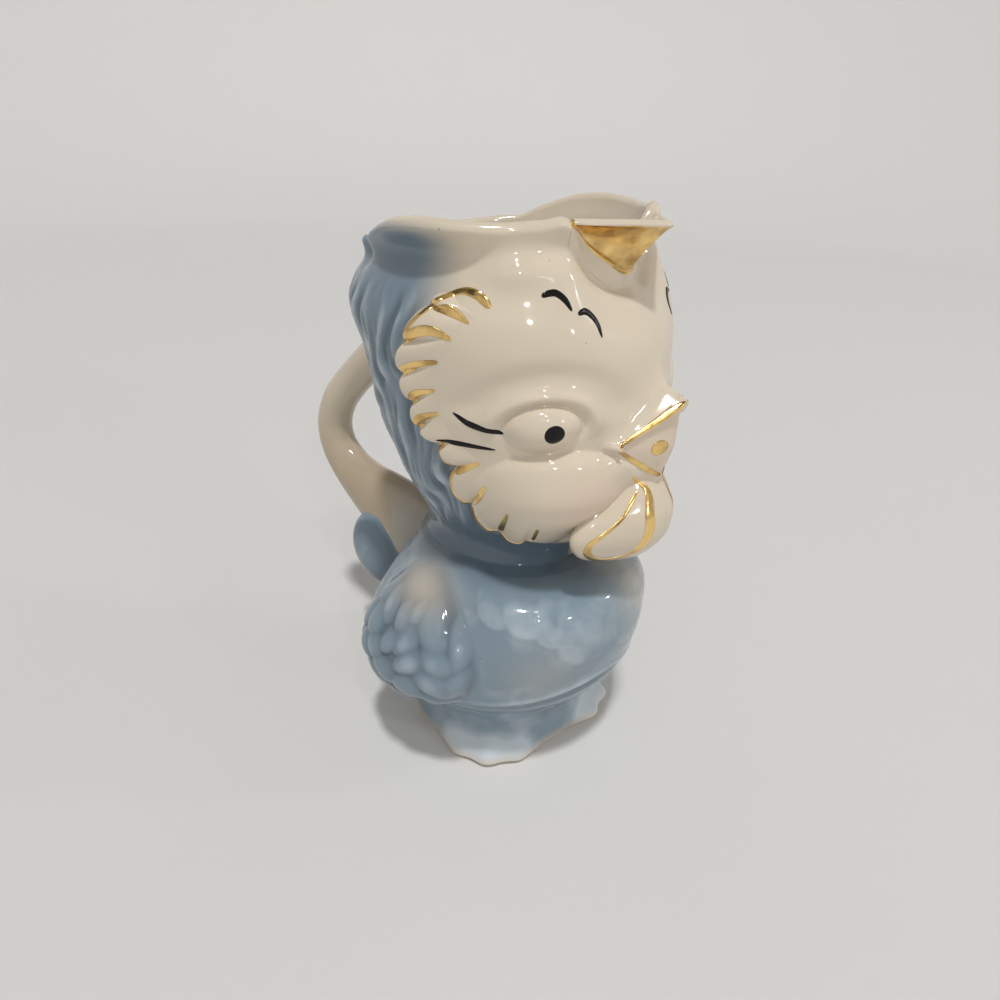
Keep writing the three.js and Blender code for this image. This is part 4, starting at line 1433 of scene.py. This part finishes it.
def relief_and_light_share(azimuth, height):
    """Above 0 on ridges, where the glaze thins, and on the feet as painted light. Below 0 in grooves, where
    it pools, and in the neck as painted shade.
    """
    hood = 1.5 * hood_relief(azimuth, height) - 0.9
    wing = ease(1.05, 0.9, wing_out(azimuth, height))
    chest = 1.4 * breast_relief(azimuth, height) + 1.4 * belly_ridge(azimuth, height) - 0.3
    body = (2 * wing_tufts(azimuth, height) - 2.1) * wing + chest * (1 - wing)
    # Painted light: the feet are made pale blue where they swell out, as if lit.
    foot = FOOT_PAINTED_LIGHT * ease(0.2, 3, foot_lift(azimuth, height))
    body = body * ease(21, 26, height) + (foot - 0.2) * ease(26, 21, height)
    # Painted shade: deep blue in the neck and on the top of the chest, where the head shades them.
    neck = ease(61, 66, height) * ease(81, 75, height)
    return np.where(height > HEAD_BOTTOM, hood, body) - NECK_PAINTED_SHADE * neck


def outer_share(places, skin):
    """1 on the outer face of a wall and 0 on its inner face."""
    depth = skin(azimuth_of(places), places[:, 2]) - np.hypot(places[:, 0], places[:, 1])
    return ease(INSIDE_DEPTH, INSIDE_DEPTH / 2, depth)


def colour_shares(node, places):
    """The four attributes of a piece, for all its vertices."""
    azimuth = azimuth_of(places)
    height = places[:, 2]
    shares = {name: np.zeros(len(places)) for name in ATTRIBUTES}
    if node == "head_shell" or node in BLUE_BODY:
        blue = blue_of_head if node == "head_shell" else blue_of_body
        outer = outer_share(places, WALL_SKINS[node]) if node in WALL_SKINS else 1
        shares["blue"] = blue(azimuth, height) * outer
        shares["relief_and_light"] = relief_and_light_share(azimuth, height)
    elif node == "tail":
        shares["blue"] += 1
        shares["relief_and_light"] = 1.2 * np.sin(places[:, 0] * 1.5 + height / 9) - 1.4
    elif node == "handle":
        radius = np.hypot(places[:, 0], places[:, 1])
        shares["blue"] = 0.4 * ease(48, 34, radius) * ease(70, 56, height)
        # Painted shade: the handle is darkened to tan, more towards its lower root.
        shares["darkened_to_tan"] = 0.25 + 0.5 * ease(95, 58, height)
    elif node.endswith("wattle"):
        # The wattles are made a little darker, towards tan.
        shares["darkened_to_tan"] += WATTLE_DARKENING
    elif node == "tongue":
        shares["rosy"] += TONGUE_ROSE
    if node in ROSY_NODES:
        shares["rosy"] = rosy_share(azimuth, height)
    return shares


for node, piece in pieces.items():
    for name, values in colour_shares(node, vertex_places(piece)).items():
        set_attribute(piece, name, values)
print("coloured pieces:", len(pieces))

# %% [markdown]
# Finishes
#
# Glaze is a layer of glass over clay: a smooth, sharp shine with a faint ripple, and tiny specks of iron.
# Gilding is a thin metal film, burnished by hand, so it is bright and a little streaky.
# Nodes could be added and linked one by one. A small class lets the sums be written as Python expressions.

# %% Shader maths
class Flow:
    """An output socket that Python's operators join to new Math nodes."""

    def __init__(self, socket):
        self.socket = socket

    @staticmethod
    def node(tree, kind, settings=None, values=None, output=0):
        """The one place where a node is made: settings come first, then values or links for its inputs."""
        made = tree.nodes.new(kind)
        for name, value in (settings or {}).items():
            setattr(made, name, value)
        for name, value in (values or {}).items():
            if isinstance(value, Flow):
                tree.links.new(value.socket, made.inputs[name])
            else:
                made.inputs[name].default_value = value
        return Flow(made.outputs[output])

    def maths(self, operation, first, second):
        tree = self.socket.id_data
        return Flow.node(tree, "ShaderNodeMath", {"operation": operation}, {0: first, 1: second})

    def __add__(self, other):
        return self.maths("ADD", self, other)

    def __sub__(self, other):
        return self.maths("SUBTRACT", self, other)

    def __rsub__(self, other):
        return self.maths("SUBTRACT", other, self)

    def __mul__(self, other):
        return self.maths("MULTIPLY", self, other)

    __radd__ = __add__
    __rmul__ = __mul__

    def at_least(self, other):
        return self.maths("MAXIMUM", self, other)

    def at_most(self, other):
        return self.maths("MINIMUM", self, other)

    def limited(self):
        """The same value, kept between 0 and 1."""
        return self.at_least(0.0).at_most(1.0)

    def feed(self, shader, name):
        """Links the value to an input of a shader."""
        self.socket.id_data.links.new(self.socket, shader.inputs[name])


OBJECT_OUTPUT = 3


def new_material(name):
    material = bpy.data.materials.new(name)
    material.use_nodes = True
    return material, material.node_tree, material.node_tree.nodes["Principled BSDF"]


def object_coords(tree):
    return Flow.node(tree, "ShaderNodeTexCoord", output=OBJECT_OUTPUT)


def attribute(tree, name):
    return Flow.node(tree, "ShaderNodeAttribute", {"attribute_name": name}, output=2)


def mix_colours(tree, share, first, second):
    return Flow.node(tree, "ShaderNodeMix", {"data_type": "RGBA"}, {0: share, 6: first, 7: second}, 2)


def noise(tree, coords, scale, detail):
    return Flow.node(tree, "ShaderNodeTexNoise", None, {"Vector": coords, "Scale": scale, "Detail": detail})


print("shader maths ready")

# %% Glaze
CREAM = (0.70, 0.61, 0.485, 1)
# TAN is the handle's painted shade, and it also darkens the wattles a little.
TAN = (0.40, 0.31, 0.20, 1)
BLUE = (0.22, 0.295, 0.355, 1)
DEEP_BLUE = (0.11, 0.155, 0.20, 1)
THIN_AND_LIT_BLUE = (0.55, 0.615, 0.67, 1)
ROSE = (0.70, 0.50, 0.39, 1)
ROSE_STRENGTH = 0.45
IRON = (0.16, 0.09, 0.05, 1)
IRON_STRENGTH = 0.6
SPECK_SCALE = 260.0
SPECK_SIZE = 0.07
BARE_CELLS = 0.62
SPECK_SHARPNESS = 60.0
CLOUD_SCALE = 90.0
THINNED_BY_RELIEF_AND_LIGHT = 0.45
THINNED_BY_CLOUD = 1.7
THINNED_FROM = 0.72
POOLED_BY_RELIEF_AND_SHADE = 0.5
RIPPLE_SCALE = 160.0
RIPPLE = {"Strength": 0.03, "Distance": 0.001}
GLAZE_IOR = 1.52


def iron_specks(tree, coords):
    """1 in small spots, one in some of the cells of a Voronoi pattern, and 0 elsewhere."""
    cells = {"Vector": coords, "Scale": SPECK_SCALE}
    away = Flow.node(tree, "ShaderNodeTexVoronoi", None, cells)
    middle = Flow.node(tree, "ShaderNodeTexVoronoi", None, cells, 2)
    chance = Flow.node(tree, "ShaderNodeTexWhiteNoise", None, {"Vector": middle})
    size = (chance - BARE_CELLS).at_least(0.0) * (SPECK_SIZE / (1 - BARE_CELLS))
    return ((size - away) * SPECK_SHARPNESS).limited()


def glaze_material(name):
    material, tree, shader = new_material(name)
    coords = object_coords(tree)
    relief_and_light = attribute(tree, "relief_and_light")
    cloud = noise(tree, coords, CLOUD_SCALE, 3.0)
    # Paler where the glaze thins on ridges and where light is painted on the feet. Deeper where it pools in
    # grooves and where shade is painted in the neck.
    thinned_and_lit = (relief_and_light * THINNED_BY_RELIEF_AND_LIGHT + cloud * THINNED_BY_CLOUD - THINNED_FROM).limited()
    pooled_and_shaded = ((0 - relief_and_light) * POOLED_BY_RELIEF_AND_SHADE).limited()
    blues = mix_colours(tree, thinned_and_lit, BLUE, THIN_AND_LIT_BLUE)
    blues = mix_colours(tree, pooled_and_shaded, blues, DEEP_BLUE)
    creams = mix_colours(tree, attribute(tree, "rosy") * ROSE_STRENGTH, CREAM, ROSE)
    # Painted shade on the handle, and a slight darkening of the wattles, mix the cream towards tan.
    creams = mix_colours(tree, attribute(tree, "darkened_to_tan"), creams, TAN)
    colour = mix_colours(tree, attribute(tree, "blue"), creams, blues)
    colour = mix_colours(tree, iron_specks(tree, coords) * IRON_STRENGTH, colour, IRON)
    colour.feed(shader, "Base Color")
    (cloud * 0.12 + 0.03).feed(shader, "Roughness")
    ripple = {**RIPPLE, "Height": noise(tree, coords, RIPPLE_SCALE, 1.0)}
    Flow.node(tree, "ShaderNodeBump", None, ripple).feed(shader, "Normal")
    shader.inputs["IOR"].default_value = GLAZE_IOR
    return material


glaze = glaze_material("glaze")
print("nodes in the glaze:", len(glaze.node_tree.nodes))

# %% Gilding and paint
GILT_SHADE = (0.24, 0.10, 0.025, 1)
GILT_BRIGHT = (0.95, 0.67, 0.27, 1)
STREAK_SCALE = 700.0
BURNISH_SCALE = 120.0
PAINT_DARK = (0.004, 0.004, 0.005, 1)
PAINT_THIN = (0.016, 0.014, 0.013, 1)
PAINT_SCALE = 500.0
PAINT_SPECULAR = 0.2


def gilt_material(name):
    material, tree, shader = new_material(name)
    coords = object_coords(tree)
    streak = noise(tree, coords, STREAK_SCALE, 4.0)
    burnish = noise(tree, coords, BURNISH_SCALE, 2.0)
    bright = (burnish * 3.0 + streak * 0.6 - 1.05).limited()
    mix_colours(tree, bright, GILT_SHADE, GILT_BRIGHT).feed(shader, "Base Color")
    (streak * 0.25 + 0.06).feed(shader, "Roughness")
    shader.inputs["Metallic"].default_value = 1.0
    return material


def paint_material(name):
    material, tree, shader = new_material(name)
    cloud = noise(tree, object_coords(tree), PAINT_SCALE, 3.0)
    mix_colours(tree, cloud, PAINT_DARK, PAINT_THIN).feed(shader, "Base Color")
    (cloud * 0.15 + 0.1).feed(shader, "Roughness")
    shader.inputs["Specular IOR Level"].default_value = PAINT_SPECULAR
    return material


gilt = gilt_material("gilt")
black_paint = paint_material("black_paint")
print("materials:", [material.name for material in bpy.data.materials])

# %% [markdown]
# Finishes on the pieces
#
# Each solid section gets the glaze, and the strokes get gilt or black paint. Only the lip has two finishes.
# Its outer side is gilded from the foot to the edge. So each of its faces takes the finish of its row,
# and a search tree of the lip's points finds that row after the doubled vertices have been merged.

# %% Finishes on pieces
for piece in pieces.values():
    piece.data.materials.append(glaze)
for piece in (gilt_fringe, gilt_beak, gilt_wattle, gilt_tongue):
    piece.data.materials.append(gilt)
for piece in (brows, lashes, pupils):
    piece.data.materials.append(black_paint)

lip.data.materials.append(gilt)
lip_columns, lip_rows = lip_places.shape[:2]
nearest_place = KDTree(lip_columns * lip_rows)
for index, place in enumerate(lip_places.reshape(-1, 3)):
    nearest_place.insert(place, index)
nearest_place.balance()
for polygon in lip.data.polygons:
    row = nearest_place.find(polygon.center / MM)[1] % lip_rows
    polygon.material_index = int(APRON_ROWS < row < APRON_ROWS + LIP_ROWS)
print("gilt faces on the lip:", sum(polygon.material_index for polygon in lip.data.polygons))

# %% [markdown]
# Floor and light
#
# A pale table runs up into a pale wall, so there is no horizon. The light is soft and comes from above.
# A few small lamps add glints, which show how glossy the glaze is, and an uneven sky gives the gilt shades.

# %% Studio
FLOOR_HALF = 3.2
FLOOR_STEPS = 80
FLOOR_RADIUS = 1.6
FLOOR_COLOUR = (0.72, 0.71, 0.695, 1)
FLOOR_ROUGHNESS = 0.5
WALL_RISE = 1.6
WALL_BEND = 0.5

bm = bmesh.new()
bmesh.ops.create_grid(bm, x_segments=FLOOR_STEPS, y_segments=FLOOR_STEPS, size=FLOOR_HALF)
for vertex in bm.verts:
    beyond = max(0, vertex.co.xy.length - FLOOR_RADIUS)
    vertex.co.z = WALL_RISE * beyond**2 / (beyond + WALL_BEND)
mesh = bpy.data.meshes.new("floor")
bm.to_mesh(mesh)
bm.free()
mesh.polygons.foreach_set("use_smooth", [True] * len(mesh.polygons))
floor = bpy.data.objects.new("floor", mesh)
bpy.context.scene.collection.objects.link(floor)
floor_material, _, floor_shader = new_material("floor")
floor_shader.inputs["Base Color"].default_value = FLOOR_COLOUR
floor_shader.inputs["Roughness"].default_value = FLOOR_ROUGHNESS
mesh.materials.append(floor_material)
print("floor:", 2 * FLOOR_HALF, "m wide")

# %% Lights
LIT_PLACE = (0, 0, 0.08)
SUN_PLACE = (-0.31, -0.24, 1.2)
SUN_STRENGTH = 1.6
SUN_ANGLE = 5
GLINT_PLACES = [(-0.52, -0.69, 1.12), (-0.69, -0.95, 0.74), (-0.08, -1.27, 0.55), (0.73, -0.93, 0.73)]
GLINT_SIZE = 0.04
GLINT_POWER = 0.9
SKY_COLOUR = (1.0, 0.97, 0.92, 1)
SKY_SCALE = 1.6
SKY_DARKEST = 0.06
SKY_BRIGHTEST = 0.75


def lamp(name, data, place):
    """Hangs a lamp at a place and turns it to the jug."""
    light = bpy.data.objects.new(name, data)
    light.location = place
    light.rotation_euler = (Vector(LIT_PLACE) - Vector(place)).to_track_quat("-Z", "Y").to_euler()
    bpy.context.scene.collection.objects.link(light)


sun = bpy.data.lights.new("key", "SUN")
sun.energy = SUN_STRENGTH
sun.angle = radians(SUN_ANGLE)
lamp("key", sun, SUN_PLACE)
for number, place in enumerate(GLINT_PLACES):
    glint = bpy.data.lights.new(f"glint_{number}", "AREA")
    glint.shape = "DISK"
    glint.size = GLINT_SIZE
    glint.energy = GLINT_POWER
    lamp(glint.name, glint, place)

world = bpy.data.worlds.new("world")
bpy.context.scene.world = world
world.use_nodes = True
sky = world.node_tree
background = sky.nodes["Background"]
direction = Flow.node(sky, "ShaderNodeTexCoord")
brightness = noise(sky, direction, SKY_SCALE, 1.0) * 2.6 - 0.95
brightness.at_least(SKY_DARKEST).at_most(SKY_BRIGHTEST).feed(background, "Strength")
background.inputs["Color"].default_value = SKY_COLOUR
bpy.context.scene.view_settings.view_transform = "Standard"
print("lights:", len(bpy.data.lights))
